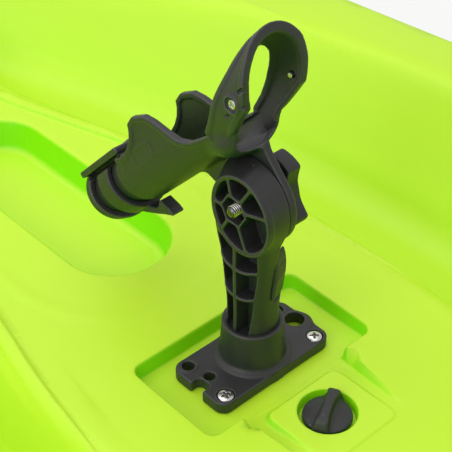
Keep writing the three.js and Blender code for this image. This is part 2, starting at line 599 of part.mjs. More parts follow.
const screwHead = -plate.sinkDepth + gap;
screwPlaces.forEach(([x, y], i) => {
  const place = new THREE.Group();
  place.position.set(x - holderX, y, 0);
  holder.add(place);
  const top = screwHead + screw.headHeight;
  const body = turned([
    [0, top - screw.length], [screw.shankRadius, top - screw.length + screw.shankRadius],
    [screw.shankRadius, screwHead], [screw.headRadius, screwHead], [screw.headRadius, top - screw.headHeight / 2],
    [screw.headRadius * 0.8, top - screw.headHeight * 0.16], [screw.headRadius * 0.4, top], [0, top],
  ], 12);
  const slots = [0, 1].map((k) => {
    const l = [screw.slotLength, screw.slot][k] / 2;
    const w = [screw.slot, screw.slotLength][k] / 2;
    return block(-l, l, -w, w, top - screw.slotDepth, top + overrun);
  });
  add(`rod_screw_${i + 1}`, cut(body, ...slots), steel, place);
  const seat0 = plateBottom - 2 * gap;
  add(`rod_insert_${i + 1}`, turned([
    [screw.shankRadius + gap, seat0 - insert.length], [insert.radius, seat0 - insert.length],
    [insert.radius, seat0], [screw.shankRadius + gap, seat0], [screw.shankRadius + gap, seat0 - insert.length],
  ], 12), brass, place);
});

// Rod holder post.
const spigot = boreRadius - post.spigotGap;
const footZ = collar.floor - plate.thick + gap;
const legTop = post.pivotHeight;
const legSides = 24;
const legRing = ([rise, along, across, power]) => Array.from({ length: legSides }, (_, i) => {
  const a = i / legSides * 2 * Math.PI;
  const c = Math.cos(a);
  const s = Math.sin(a);
  const k = 1 / Math.pow(Math.pow(Math.abs(c), power) + Math.pow(Math.abs(s), power), 1 / power);
  return [spigot * along * c * k, spigot * across * s * k, mix(footZ, legTop, rise)];
});
const leg = solid(loft(legShares.map(legRing)));
const headFace = post.headPort;
const headSides = 32;
// Oval about the head's port face, drawn in by an inset.
const faceOval = (inset) => circle(0, 0, 1, headSides).map(([a, up]) => [
  post.faceShift + (post.faceHalfAlong - inset) * a, post.pivotHeight - post.faceDrop + (post.faceHalfUp - inset) * up,
]);
const head = solid(loft([
  circle(0, post.pivotHeight, post.headRadius, headSides).map(([x, z]) => [x, -post.headStarboard, z]),
  faceOval(-post.rim / 3).map(([x, z]) => [x, headFace - post.rim, z]),
  faceOval(0).map(([x, z]) => [x, headFace, z]),
]));
const cutFrom = headFace - post.cutDepth;
const far = headFace + overrun;
// The leg steps back under the ear so that the cradle's plate and knob clear it.
const stepFoot = post.pivotHeight - cradle.earRadius - post.stepRoom;
const step = solid(new THREE.ExtrudeGeometry(new THREE.Shape([
  [-far, legTop + overrun], [-far, stepFoot - post.stepRun], [-spigot, stepFoot - post.stepRun],
  [-post.headStarboard, stepFoot], [-post.headStarboard, legTop + overrun],
].map((q) => new THREE.Vector2(...q))), { depth: 2 * far, bevelEnabled: false })
  .translate(0, 0, -far)
  .applyMatrix4(new THREE.Matrix4().makeBasis(
    new THREE.Vector3(0, 1, 0), new THREE.Vector3(0, 0, 1), new THREE.Vector3(1, 0, 0))));
const hexOutline = (radius, z) => arc(0, z, radius / Math.cos(Math.PI / 6), 0, 300, 5);
const wheel = cut(
  prismY(faceOval(post.rim), cutFrom, far),
  prismY(hexOutline(post.hubRadius, post.pivotHeight), cutFrom - gap, far + gap),
  ...spokeShares.map((share) => {
    const spoke = new THREE.BoxGeometry(2 * post.headRadius, far, post.rib);
    spoke.translate(post.headRadius, far / 2 + cutFrom / 2, 0);
    spoke.rotateY(-share * 2 * Math.PI);
    return solid(moved(spoke, 0, 0, post.pivotHeight));
  }),
);
const ladderLow = post.lowWindow;
const ladderHigh = post.highWindow;
const ladderSpan = ladderHigh - ladderLow;
const ladder = cut(
  prismY([
    [-post.lowHalf, ladderLow], [post.lowHalf, ladderLow], [post.highHalf, ladderHigh], [-post.highHalf, ladderHigh],
  ], cutFrom, far),
  block(-post.rib / 2, post.rib / 2, cutFrom - gap, far + gap, 0, legTop),
  prismY(faceOval(0), cutFrom - gap, far + gap),
  ...windowRibShares.map((s) => {
    const z = ladderLow + s * ladderSpan;
    return prismY([
      [-post.highHalf - gap, z - post.rib / 2], [0, z - post.rib / 2 - post.ribArc],
      [post.highHalf + gap, z - post.rib / 2], [post.highHalf + gap, z + post.rib / 2],
      [0, z + post.rib / 2 - post.ribArc], [-post.highHalf - gap, z + post.rib / 2],
    ], cutFrom - gap, far + gap);
  }),
);
const leverCut = new THREE.BoxGeometry(overrun, lever.width + 2 * gap, lever.high - lever.low + 2 * lever.lip);
leverCut.translate(spigot + lever.standoff - lever.lip + overrun / 2, 0, (lever.high + lever.low) / 2);
leverCut.rotateZ(lever.turn * degree);
add('rod_post', cut(
  joined(cut(leg, step), head),
  wheel,
  ladder,
  solid(leverCut),
  barY(stud.radius + gap, -far, far, 0, post.pivotHeight),
  prismY(hexOutline(nut.flatRadius + gap, post.pivotHeight), nut.seat, far),
), black, holder);

const headCentre = new THREE.Group();
headCentre.position.set(0, 0, post.pivotHeight);
holder.add(headCentre);
add('rod_nut', cut(
  prismY(hexOutline(nut.flatRadius, 0), nut.seat + gap, nut.seat + gap + nut.thick),
  barY(stud.radius + gap, -far, far),
), steel, headCentre);

const leverPlace = new THREE.Group();
leverPlace.rotation.z = lever.turn * degree;
leverPlace.position.set(0, 0, lever.low);
holder.add(leverPlace);
const leverX = spigot + lever.standoff - lever.lip + gap;
const leverLong = lever.high - lever.low;
add('rod_lever', prismY([
  [leverX, 0], [leverX + lever.thick * 1.1, lever.foot / 2], [leverX + lever.thick * 1.5, leverLong * 0.55],
  [leverX + lever.thick * 1.9, leverLong * 0.86], [leverX + lever.thick * 1.6, leverLong],
  [leverX + lever.thick * 0.7, leverLong], [leverX, leverLong * 0.86],
], -lever.width / 2, lever.width / 2), black, leverPlace);

// Cradle: built along x, then tilted about the pivot.
const cradlePlace = new THREE.Group();
cradlePlace.position.set(0, 0, post.pivotHeight);
cradlePlace.rotation.y = -(180 - cradle.tilt) * degree;
holder.add(cradlePlace);
// In the cradle's own frame x is s and z is minus n, because the group is turned past upright.
const axisN = cradle.radius + cradle.pivotDrop;
const fromN = (n) => -(n + cradle.pivotDrop);
const tubeSides = 24;
const tubeRing = ([s, radius]) => Array.from({ length: tubeSides }, (_, i) => {
  const a = i / tubeSides * 2 * Math.PI;
  return [s, radius * Math.cos(a), radius * Math.sin(a) - axisN];
});
const tubeStations = [
  [cradle.butt, cradle.radius], [cradle.butt + cradle.rimLength, cradle.radius],
  [cradle.butt + cradle.rimLength, cradle.neckRadius], [cradle.bodyEnd, cradle.neckRadius],
  [cradle.bodyEnd, cradle.radius], [cradle.hoopStart, cradle.radius],
  [mix(cradle.hoopStart, cradle.hoopFull, 0.5), mix(cradle.radius, cradle.hoopRadius, 0.5)],
  [cradle.hoopFull, cradle.hoopRadius], [cradle.hoopEnd + overrun, cradle.hoopRadius],
];
const boreStations = [
  [cradle.butt - overrun, cradle.neckRadius - cradle.wall],
  [cradle.bodyEnd + cradle.wall, cradle.neckRadius - cradle.wall],
  [cradle.bodyEnd + 2 * cradle.wall, cradle.radius - cradle.wall],
  ...tubeStations.slice(5).map(([s, radius]) => [s, radius - cradle.wall]),
];
const tubeSkin = (rows) => solid(loft(rows.map(tubeRing)));
const wallsOuter = block(-3 * cradle.radius, -cradle.radius * 0.3, -cradle.radius, cradle.radius,
  fromN(cradle.wallTop + overrun), -axisN);
const wallsInner = block(-3 * cradle.radius - gap, -cradle.radius * 0.1, cradle.wall - cradle.radius,
  cradle.radius - cradle.wall, fromN(cradle.wallTop + 2 * overrun), -axisN);
const trim = prismY(
  cradleProfileShares.map(([s, n]) => [s * cradle.radius, fromN(n * cradle.radius)]),
  -cradle.hoopRadius - overrun, cradle.hoopRadius + overrun,
);
const nose = new THREE.SphereGeometry(1, 16, 8);
nose.scale(cradle.noseRadii[0], cradle.noseRadii[2], cradle.noseRadii[1]);
nose.translate(cradle.noseS, 0, fromN(cradle.noseN));
const bosses = [1, -1].map((side) => barY(cradle.pinBoss, side > 0 ? cradle.radius : -cradle.hoopRadius
  - cradle.pinBossHeight, side > 0 ? cradle.hoopRadius + cradle.pinBossHeight : -cradle.radius, cradle.pinS,
  fromN(cradle.pinN), 12));
const flange = block(cradle.flangeStart, cradle.flangeEnd, -cradle.flangeHalf, cradle.flangeHalf,
  fromN(2 * cradle.radius), fromN(cradle.flangeLow));
const earFace = -post.headStarboard - gap;
const earOutline = [
  ...arc(0, 0, cradle.earRadius, 10, 170, 10),
  [-cradle.earRadius * 0.98, -cradle.pivotDrop * 0.5], [-cradle.earRadius * 1.25, -cradle.pivotDrop * 1.1],
  [-cradle.earRadius * 1.5, fromN(cradle.radius * 0.75)], [cradle.earRadius * 1.25, fromN(cradle.radius * 0.75)],
  [cradle.earRadius * 1.05, -cradle.pivotDrop * 0.6],
];
const ear = prismY(earOutline, earFace - cradle.earThick, earFace);
const trough = joined(tubeSkin(tubeStations), wallsOuter, solid(nose)).intersect(trim);
add('rod_cradle', cut(
  joined(trough, flange, ear, ...bosses),
  tubeSkin(boreStations),
  wallsInner,
  barY(cradle.pinRadius, -far, far, cradle.pinS, fromN(cradle.pinN), 10),
  barY(stud.radius + gap, -far, far),
), black, cradlePlace);

// Spring clip round the neck of the butt end, with a strap and a fin under the tube.
const clipIn = cradle.neckRadius + gap;
const shareN = ([s, n]) => [s * cradle.radius, fromN(n * cradle.radius)];
add('rod_butt_clip', cut(
  joined(
    cut(
      barX(clip.outer, clip.start, clip.end, 0, -axisN, tubeSides),
      barX(clipIn, clip.start - overrun, clip.end + overrun, 0, -axisN, tubeSides),
      block(clip.start - overrun, clip.end + overrun, -2 * clip.outer, 2 * clip.outer,
        fromN(clip.topN) - overrun, fromN(clip.topN)),
    ),
    block(clip.end - clip.strapThick, clip.strapEnd, -clip.strapHalf, clip.strapHalf, -cradle.pivotDrop + gap,
      -cradle.pivotDrop + gap + clip.strapThick),
    prismY(finShares.map(shareN), -clip.finHalf, clip.finHalf),
  ),
  barY(clip.finHole, -overrun, overrun, ...shareN(finHoleShares), 8),
), black, cradlePlace);

const washerFace = earFace - cradle.earThick - gap;
add('rod_washer', cut(
  barY(washer.radius, washerFace - washer.thick, washerFace),
  barY(stud.radius + gap, -far, far),
), steel, headCentre);

// Star knob and its stud.
const knobFace = washerFace - washer.thick - gap;
const knobSteps = 12 * knob.lobes;
const knobOutline = Array.from({ length: knobSteps }, (_, i) => {
  const a = (i / knobSteps * 360 + knob.lobeTurn) * degree;
  const wave = Math.pow((1 + Math.cos(i / knobSteps * 2 * Math.PI * knob.lobes)) / 2, 0.8);
  const r = knob.radius * (1 - knob.lobeDepth * (1 - wave));
  return [r * Math.cos(a), r * Math.sin(a)];
});
add('rod_knob', cut(
  joined(
    prismY(knobOutline, knobFace - knob.boss - knob.thick, knobFace - knob.boss),
    barY(knob.bossRadius, knobFace - knob.boss - gap, knobFace),
  ),
  barY(stud.radius + gap, knobFace - knob.boss - knob.thick / 2, far),
), black, headCentre);
add('rod_stud', barY(stud.radius, knobFace - knob.boss - knob.thick / 2 + gap, headFace + stud.proud),
  steel, headCentre);

// Seat.
const seatFloor = seatWell.floor + gap;
const cushionX = seat.hingeX + seat.cushionStart;
const cushionOutline = roundedRect(cushionX, cushionX + seat.cushionLength, -seat.cushionWidth / 2,
  seat.cushionWidth / 2, seat.cushionCorner);
const crown = seat.cushionCrown;
add('seat_cushion', solid(loft([
  offset(cushionOutline, -crown).map((p) => [...p, seatFloor]),
  cushionOutline.map((p) => [...p, seatFloor + seat.cushionThick * 0.4]),
  offset(cushionOutline, -crown * 0.3).map((p) => [...p, seatFloor + seat.cushionThick * 0.8]),
  offset(cushionOutline, -crown * 1.2).map((p) => [...p, seatFloor + seat.cushionThick]),
])), fabric);

const hingeZ = seatFloor + seat.hingeRise;
const hubIn = seat.hingeHalf - seat.bracketWidth / 2;
[1, -1].forEach((side) => {
  const place = new THREE.Group();
  place.position.set(seat.hingeX, side * seat.hingeHalf, hingeZ);
  kayak.add(place);
  const inner = -side * (seat.bracketWidth / 2 + seat.lugWidth);
  const outer = side * seat.bracketWidth / 2;
  add(side > 0 ? 'seat_bracket_port' : 'seat_bracket_starboard', joined(
    block(-seat.bracketLength / 2, seat.bracketLength / 2, -seat.bracketWidth, seat.bracketWidth, -seat.hingeRise,
      seat.bracketBase - seat.hingeRise),
    prismY([
      [-seat.bracketLength / 2, seat.bracketBase / 2 - seat.hingeRise], [seat.bracketLength / 2, seat.bracketBase / 2
        - seat.hingeRise], ...arc(0, 0, seat.hubRadius, -10, 190, 12),
    ], -seat.bracketWidth / 2, seat.bracketWidth / 2),
    barY(seat.pinRadius, Math.min(inner, outer), Math.max(inner, outer), 0, 0),
  ), black, place);
});

// Backrest: a curved panel on two lugs, leaning aft, with a pad on its front.
const backGroup = new THREE.Group();
backGroup.position.set(seat.hingeX, 0, hingeZ);
backGroup.rotation.y = -seat.lean * degree;
kayak.add(backGroup);
const lugEnd = hubIn - gap;
const lugStart = lugEnd - seat.lugWidth;
const backHalfAt = (t) => mix(lugStart, seat.backWidth / 2, ramp(t, seat.neckShare, 2 * seat.neckShare))
  * (1 - seat.shoulderShare * Math.pow(Math.max(0, t - 0.6) / 0.4, 2.5));
const backRing = (t, low, high, front, thick, inset) => {
  const half = backHalfAt(t) - inset;
  const steps = 6;
  const curve = (x0) => Array.from({ length: steps + 1 }, (_, i) => {
    const v = 2 * i / steps - 1;
    return [x0 - seat.backSag * (1 - v * v * Math.pow(half / (seat.backWidth / 2), 2)), v * half,
      mix(low, high, t)];
  });
  return [...curve(front), ...curve(front - thick).reverse()];
};
const backRows = [0, 0.09, 0.14, 0.2, 0.6, 0.84, 0.93, 1];
const panel = solid(loft(backRows.map((t) => backRing(t, -seat.hubRadius / 2, seat.backHeight, seat.backSag / 2,
  seat.backThick, 0))));
const lugs = [1, -1].map((side) => barY(seat.hubRadius, Math.min(side * lugStart, side * lugEnd),
  Math.max(side * lugStart, side * lugEnd), 0, 0, 24));
const lugArms = [1, -1].map((side) => block(-seat.backSag / 2 - seat.backThick / 2, seat.hubRadius / 2,
  Math.min(side * (lugStart - seat.lugWidth), side * lugEnd), Math.max(side * (lugStart - seat.lugWidth),
    side * lugEnd), 0, seat.hubRadius * 1.6));
const lugBores = [1, -1].map((side) => barY(seat.pinRadius + gap, Math.min(side * (lugStart - gap), side * (lugEnd
  + overrun)), Math.max(side * (lugStart - gap), side * (lugEnd + overrun)), 0, 0));
add('seat_back', cut(joined(panel, ...lugs, ...lugArms), ...lugBores), black, backGroup);
const padRows = [0.2, 0.34, 0.6, 0.84, 0.93];
const padDepthShares = [0.45, 1, 1, 0.85, 0.4];
add('seat_back_pad', solid(loft(padRows.map((t, i) => backRing(t, -seat.hubRadius / 2, seat.backHeight,
  seat.backSag / 2 + 2 * gap + seat.padThick * padDepthShares[i], seat.padThick * padDepthShares[i],
  seat.padInset)))),
fabric, backGroup);

// Hatch in the bow deck.
const bore = hatch.mouth + hatch.boreWall;
{
  const place = new THREE.Group();
  place.position.set(hatchX, 0, hatchFloor);
  kayak.add(place);
  const flangeTop = gap + hatch.flange;
  add('hatch_ring', turned([
    [hatch.mouth, -hatch.spigot], [bore, -hatch.spigot], [bore, gap], [hatch.radius, gap],
    [hatch.radius, flangeTop - hatch.boreWall / 2], [hatch.radius - hatch.boreWall / 2, flangeTop],
    [hatch.mouth, flangeTop], [hatch.mouth, -hatch.spigot],
  ], hatch.sides), black, place);
  const gasketTop = flangeTop + gap + hatch.gasket;
  add('hatch_gasket', turned([
    [hatch.mouth + hatch.boreWall, flangeTop + gap], [hatch.lidRadius - hatch.boreWall, flangeTop + gap],
    [hatch.lidRadius - hatch.boreWall, gasketTop], [hatch.mouth + hatch.boreWall, gasketTop],
    [hatch.mouth + hatch.boreWall, flangeTop + gap],
  ], 16), rubber, place);
  const lidUnder = gasketTop + gap;
  const lidTop = lidUnder + hatch.lidThick;
  const plug = hatch.mouth - hatch.lidGap;
  const lid = turned([
    [0, lidUnder + hatch.lidThick / 3], [plug - hatch.boreWall, lidUnder + hatch.lidThick / 3],
    [plug - hatch.boreWall, -hatch.spigot / 2], [plug, -hatch.spigot / 2], [plug, lidUnder],
    [hatch.lidRadius, lidUnder], [hatch.lidRadius, lidTop - hatch.boreWall / 2],
    [hatch.lidRadius - hatch.boreWall / 2, lidTop], [0, lidTop],
  ], hatch.sides);
  const l = hatch.gripLength / 2;
  const w = hatch.gripWidth / 2;
  const bar = solid(loft([
    roundedRect(-l, l, -w, w, w * 0.9, 2).map((p) => [...p, lidTop - gap]),
    roundedRect(-l * 0.96, l * 0.96, -w * 0.8, w * 0.8, w * 0.7, 2).map((p) => [...p, lidTop + hatch.gripHeight * 0.7]),
    roundedRect(-l * 0.9, l * 0.9, -w * 0.5, w * 0.5, w * 0.4, 2).map((p) => [...p, lidTop + hatch.gripHeight]),
  ]));
  add('hatch_lid', joined(lid, bar), black, place);
}

// Flush rod tubes behind the seat.
const flangeBase = tubeFloor + gap;
[1, -1].forEach((side) => {
  const rim = roundedRect(rodTube.x - rodTube.flangeAlong / 2, rodTube.x + rodTube.flangeAlong / 2,
    side * rodTube.y - rodTube.flangeAcross / 2, side * rodTube.y + rodTube.flangeAcross / 2,
    rodTube.flangeAcross / 2, 4);
  const flangePlate = solid(loft([
    rim.map((p) => [...p, flangeBase]),
    rim.map((p) => [...p, flangeBase + rodTube.flangeThick / 2]),
    offset(rim, -rodTube.flangeThick / 2).map((p) => [...p, flangeBase + rodTube.flangeThick]),
  ]));
  const tube = rodTubeBody(side, rodTube.radius + rodTube.wall, overrun).intersect(
    block(-halfLength, halfLength, -hull.beam, hull.beam, 0, flangeBase + rodTube.flangeThick),
  );
  const hole = rodTubeBody(side, rodTube.radius, overrun, rodTube.wall);
  add(side > 0 ? 'rod_tube_port' : 'rod_tube_starboard', cut(joined(flangePlate, tube), hole), black);
});

// Carry handles.
[['bow', handleX[0], handleFloors[0], -1], ['stern', handleX[1], handleFloors[1], 1]].forEach((row) => {
  const [end, x, floor, inboard] = row;
  const place = new THREE.Group();
  place.position.set(x, 0, floor + gap);
  kayak.add(place);
  const axisZ = handle.baseThick + handle.axisRise;
  const earY = handle.gripSpan / 2 - handle.barRadius - handle.ear - 2 * gap;
  const base = joined(
    prismZ(roundedRect(-handle.baseLength / 2, handle.baseLength / 2, -handle.baseWidth / 2, handle.baseWidth / 2,
      handle.margin), 0, handle.baseThick),
    ...[1, -1].map((side) => prismY([
      [-handle.earHalf, 0], [handle.earHalf, 0],
      ...arc(0, axisZ, handle.barRadius + handle.ear / 2, 0, 180, 6),
    ], side > 0 ? earY - handle.ear : -earY, side > 0 ? earY : handle.ear - earY)),
  );
  add(`${end}_handle_base`, cut(base, barY(handle.barRadius + gap, -handle.gripSpan, handle.gripSpan, 0, axisZ, 10)),
    black, place);
  const swing = new THREE.Group();
  swing.position.set(0, 0, axisZ);
  place.add(swing);
  const half = handle.gripSpan / 2;
  const arm = (side) => barX(handle.barRadius, Math.min(0, inboard * handle.reach), Math.max(0, inboard
    * handle.reach), side * half, 0, 8);
  const grip = [
    [0, -half - handle.barRadius], [handle.barRadius, -half - handle.barRadius],
    [handle.gripRadius, -half * 0.6], [handle.gripRadius, half * 0.6],
    [handle.barRadius, half + handle.barRadius], [0, half + handle.barRadius],
  ];
  const gripBody = solid(moved(new THREE.LatheGeometry(grip.map((p) => new THREE.Vector2(...p)), 10), inboard
    * handle.reach, 0, 0));
  add(`${end}_handle`, joined(
    barY(handle.barRadius, -half - handle.barRadius, half + handle.barRadius, 0, 0, 8), arm(1), arm(-1), gripBody,
  ), black, swing);
});

export default kayak;
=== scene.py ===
"""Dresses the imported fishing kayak: fine moulded skins, fasteners, padding, finishes, floor and light."""
import json
import math
from functools import reduce
from typing import NamedTuple

import bmesh
import bpy
import numpy as np
from bpy.props import FloatProperty, FloatVectorProperty, PointerProperty
from mathutils import Matrix, Vector, geometry


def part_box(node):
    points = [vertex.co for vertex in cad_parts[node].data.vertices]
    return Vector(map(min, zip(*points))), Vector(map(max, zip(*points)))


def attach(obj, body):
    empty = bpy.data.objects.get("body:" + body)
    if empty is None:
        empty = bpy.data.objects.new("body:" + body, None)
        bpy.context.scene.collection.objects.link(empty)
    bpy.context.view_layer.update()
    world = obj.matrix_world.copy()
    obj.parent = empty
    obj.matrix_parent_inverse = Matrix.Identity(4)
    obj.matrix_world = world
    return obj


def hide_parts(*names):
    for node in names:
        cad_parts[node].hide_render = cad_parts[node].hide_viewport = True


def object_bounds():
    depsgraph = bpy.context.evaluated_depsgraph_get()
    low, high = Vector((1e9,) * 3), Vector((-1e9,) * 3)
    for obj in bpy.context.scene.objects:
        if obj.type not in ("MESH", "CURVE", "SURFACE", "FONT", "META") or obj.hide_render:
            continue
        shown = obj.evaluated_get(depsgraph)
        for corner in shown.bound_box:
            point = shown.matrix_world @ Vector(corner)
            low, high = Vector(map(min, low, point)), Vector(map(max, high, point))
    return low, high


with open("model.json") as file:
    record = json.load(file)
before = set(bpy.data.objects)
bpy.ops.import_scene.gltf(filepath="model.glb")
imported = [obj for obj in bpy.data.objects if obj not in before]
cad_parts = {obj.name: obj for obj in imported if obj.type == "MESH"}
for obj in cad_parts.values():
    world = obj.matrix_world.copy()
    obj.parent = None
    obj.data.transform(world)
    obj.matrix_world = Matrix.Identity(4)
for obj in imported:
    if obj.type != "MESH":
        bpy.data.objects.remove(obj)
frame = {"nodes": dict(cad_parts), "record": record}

cad_box = [list(corner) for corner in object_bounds()]

bl_info = {
    "name": "Fishing kayak",
    "version": (1, 0, 0),
    "blender": (4, 5, 0),
    "location": "3D View > Sidebar > Kayak",
    "description": "Builds the visible pieces of a sit-on-top fishing kayak around its packed frame",
    "category": "Object",
}

MM = 0.001
HULL_LONG = cad_box[1][0] - cad_box[0][0]

# Places that several steps share, in millimetres. Screws, recess and drain count from the post and the plate's
# top, the rod tubes from amidships.
SCREW_X, SCREW_Y = -20, 45
RECESS_DEEP = 10
DRAIN_X, DRAIN_Z = -77, -13
STUD_BORE = 4.7
TUBE_X, TUBE_Y, TUBE_LEAN = -440, 255, math.radians(24)
# Shares of half the hull's length, and for the scupper holes of half its beam too.
HATCH_SHARE, HANDLE_SHARE = 0.705, 0.93
SCUPPERS = ((0.075, 0.52), (-0.62, 0.3))


def length(name, default, description):
    return FloatProperty(name=name, default=default, description=description, unit="LENGTH",
                         subtype="DISTANCE")


def colour(name, default, description):
    return FloatVectorProperty(name=name, default=default, description=description, subtype="COLOR",
                               min=0.0, max=1.0)


class HullSizes(bpy.types.PropertyGroup):
    long: length("Length", HULL_LONG, "Hull from tip to tip")
    beam: length("Beam", 0.787, "Widest point of the hull")
    height: length("Height", 0.3, "Rim height amidships")
    rim_width: length("Rim width", 0.085, "Flat rim inside the gunwale")
    rim_fall: length("Rim fall", 0.008, "How far the rim falls to the gunwale")
    console_half: length("Console half width", 0.163, "Half the console between the footwells")
    bead_height: length("Bead height", 0.003, "Moulded bead along the console")
    bead_width: length("Bead width", 0.0095, "Width of the bead along the console")


class HolderSizes(bpy.types.PropertyGroup):
    x: length("Holder place", 0.38, "Post axis from amidships")
    top: length("Plate top", 0.24, "Height of the base plate's top")
    plate_along: length("Plate depth", 0.0562, "Base plate along the kayak")
    plate_across: length("Plate width", 0.1105, "Base plate across the kayak")
    plate_thick: length("Plate thickness", 0.0097, "Base plate thickness")
    collar_radius: length("Collar radius", 0.0245, "Outside of the collar")
    collar_height: length("Collar height", 0.033, "Collar above the plate")
    bore_radius: length("Collar bore", 0.02, "Inside of the collar")
    pivot_height: length("Pivot height", 0.14, "Pivot above the plate")
    head_radius: length("Head radius", 0.033, "Round side of the post's head")
    tube_radius: length("Cradle radius", 0.024, "Outside of the cradle's tube")
    hoop_radius: length("Hoop radius", 0.0275, "Outside of the cradle's hoop")
    wall: length("Cradle wall", 0.0032, "Wall of the cradle")
    knob_radius: length("Knob radius", 0.029, "Reach of the knob's lobes")


class SeatSizes(bpy.types.PropertyGroup):
    channel_depth: length("Channel depth", 0.0035, "Depth of the sewn channels")
    piping: length("Piping", 0.0026, "Radius of the sewn edge")
    weave: length("Weave", 0.0016, "One thread and its gap")


class Finishes(bpy.types.PropertyGroup):
    lime: colour("Lime shell", (0.56, 0.87, 0.03), "Moulded shell")
    black: colour("Black plastic", (0.022, 0.0225, 0.022), "Moulded fittings")
    steel: colour("Steel", (0.74, 0.72, 0.68), "Screws, nut and stud")
    brass: colour("Brass", (0.6, 0.45, 0.18), "Threaded inserts")
    rubber: colour("Rubber", (0.02, 0.02, 0.02), "Gaskets")
    cloth: colour("Seat fabric", (0.055, 0.058, 0.062), "Woven seat fabric")
    thread: colour("Thread", (0.42, 0.66, 0.06), "Stitching")
    floor: colour("Floor", (0.9, 0.9, 0.9), "Studio floor")


def sizes(group):
    """The lengths of a property group in millimetres."""
    return {name: getattr(group, name) / MM for name in group.__annotations__}


# Curves shared with the solids.

def through(table):
    """Smooth curve through pairs that never overshoots them, for arrays."""
    x, y = np.array(table, float).T
    steps = np.diff(y) / np.diff(x)
    slopes = np.concatenate(([steps[0]], np.zeros(len(x) - 2), [steps[-1]]))
    for i in range(1, len(x) - 1):
        a, b = steps[i - 1], steps[i]
        slopes[i] = 0 if a * b <= 0 else 2 * a * b / (a + b)

    def curve(v):
        v = np.clip(np.asarray(v, float), x[0], x[-1])
        i = np.clip(np.searchsorted(x, v) - 1, 0, len(x) - 2)
        h = x[i + 1] - x[i]
        t = (v - x[i]) / h
        return (y[i] * (2 * t ** 3 - 3 * t ** 2 + 1) + h * slopes[i] * (t ** 3 - 2 * t ** 2 + t)
                + y[i + 1] * (3 * t ** 2 - 2 * t ** 3) + h * slopes[i + 1] * (t ** 3 - t ** 2))
    return curve


def ease(value, low, high):
    t = np.clip((value - low) / (high - low), 0, 1)
    return t * t * (3 - 2 * t)


def mix(a, b, t):
    return a + (b - a) * t


def round_rect(x0, x1, y0, y1, radius, steps=8):
    """Rectangle with round corners, anticlockwise."""
    turns = np.radians(np.linspace(0, 90, steps + 1))
    corners = [(x1 - radius, y1 - radius, 0), (x0 + radius, y1 - radius, 90), (x0 + radius, y0 + radius, 180),
               (x1 - radius, y0 + radius, 270)]
    return np.array([(cx + radius * math.cos(a), cy + radius * math.sin(a))
                     for cx, cy, start in corners for a in turns + math.radians(start)])


def ring(x, y, radius, steps=64):
    a = np.linspace(0, 2 * math.pi, steps, endpoint=False)
    return np.stack((x + radius * np.cos(a), y + radius * np.sin(a)), 1)


def rounded(outline, times=3):
    """Closed outline with its corners cut again and again until it runs smoothly."""
    points = np.array(outline, float)
    for _ in range(times):
        after = np.roll(points, -1, 0)
        points = np.stack((0.75 * points + 0.25 * after, 0.25 * points + 0.75 * after), 1).reshape(-1, 2)
    return points


def outline_distance(px, py, outline):
    """Distance to a closed outline, below zero inside."""
    px, py = np.broadcast_arrays(px, py)
    best = np.full(px.shape, 1e12)
    inside = np.zeros(px.shape, bool)
    for (ax, ay), (bx, by) in zip(outline, np.roll(outline, -1, 0)):
        ex, ey = bx - ax, by - ay
        wx, wy = px - ax, py - ay
        t = np.clip((wx * ex + wy * ey) / (ex * ex + ey * ey + 1e-12), 0, 1)
        best = np.minimum(best, (wx - ex * t) ** 2 + (wy - ey * t) ** 2)
        crosses = (ay > py) != (by > py)
        inside ^= crosses & (wx * ey < wy * ex) if ey > 0 else crosses & (wx * ey > wy * ex)
    return np.sqrt(best) * np.where(inside, -1, 1)


# Fields: numbers that are below zero inside a shape and tell the distance to its skin.

def grid(low, high, cell):
    """Open x, y and z rows that cover a box, in millimetres."""
    rows = [a + cell * np.arange(int(math.ceil((b - a) / cell)) + 1, dtype=np.float32)
            for a, b in zip(low, high)]
    return rows[0][:, None, None], rows[1][None, :, None], rows[2][None, None, :]


def soft_max(a, b, radius):
    """The larger of two fields, with a round bend where they meet."""
    h = np.maximum(radius - np.abs(a - b), 0)
    return np.maximum(a, b) + h * h / (4 * radius)


def join(first, *others, radius=1.0):
    for other in others:
        first = -soft_max(-first, -other, radius)
    return first


def take(body, *tools, radius=1.0):
    for tool in tools:
        body = soft_max(body, -tool, radius)
    return body


def keep(body, *others, radius=1.0):
    for other in others:
        body = soft_max(body, other, radius)
    return body


def within(*fields):
    """Where all the shapes are at once, with sharp edges."""
    return reduce(np.maximum, fields)


def slab(flat, along, low, high, radius=1.0):
    """A flat shape made thick between two places, with rounded edges."""
    a = flat + radius
    b = np.abs(along - (low + high) / 2) - (high - low) / 2 + radius
    return np.minimum(np.maximum(a, b), 0) + np.hypot(np.maximum(a, 0), np.maximum(b, 0)) - radius


def disc(u, v, radius):
    return np.hypot(u, v) - radius


def rect(u, v, half_u, half_v, radius=0.0):
    a = np.abs(u) - half_u + radius
    b = np.abs(v) - half_v + radius
    return np.minimum(np.maximum(a, b), 0) + np.hypot(np.maximum(a, 0), np.maximum(b, 0)) - radius


def turned(u, v, angle):
    """The parts of a place along and across a direction."""
    return u * math.cos(angle) + v * math.sin(angle), -u * math.sin(angle) + v * math.cos(angle)


def hexagon(u, v, flat_radius):
    turns = np.radians([0, 60, 120])
    return np.maximum.reduce([np.abs(u * math.sin(a) + v * math.cos(a)) for a in turns]) - flat_radius


def rod(x, y, z, start, end, radius):
    """Bar with round ends between two points."""
    a, b = np.array(start, float), np.array(end, float)
    d = b - a
    t = np.clip(((x - a[0]) * d[0] + (y - a[1]) * d[1] + (z - a[2]) * d[2]) / (d @ d), 0, 1)
    off = [row - a[k] - d[k] * t for k, row in enumerate((x, y, z))]
    return np.sqrt(off[0] ** 2 + off[1] ** 2 + off[2] ** 2) - radius


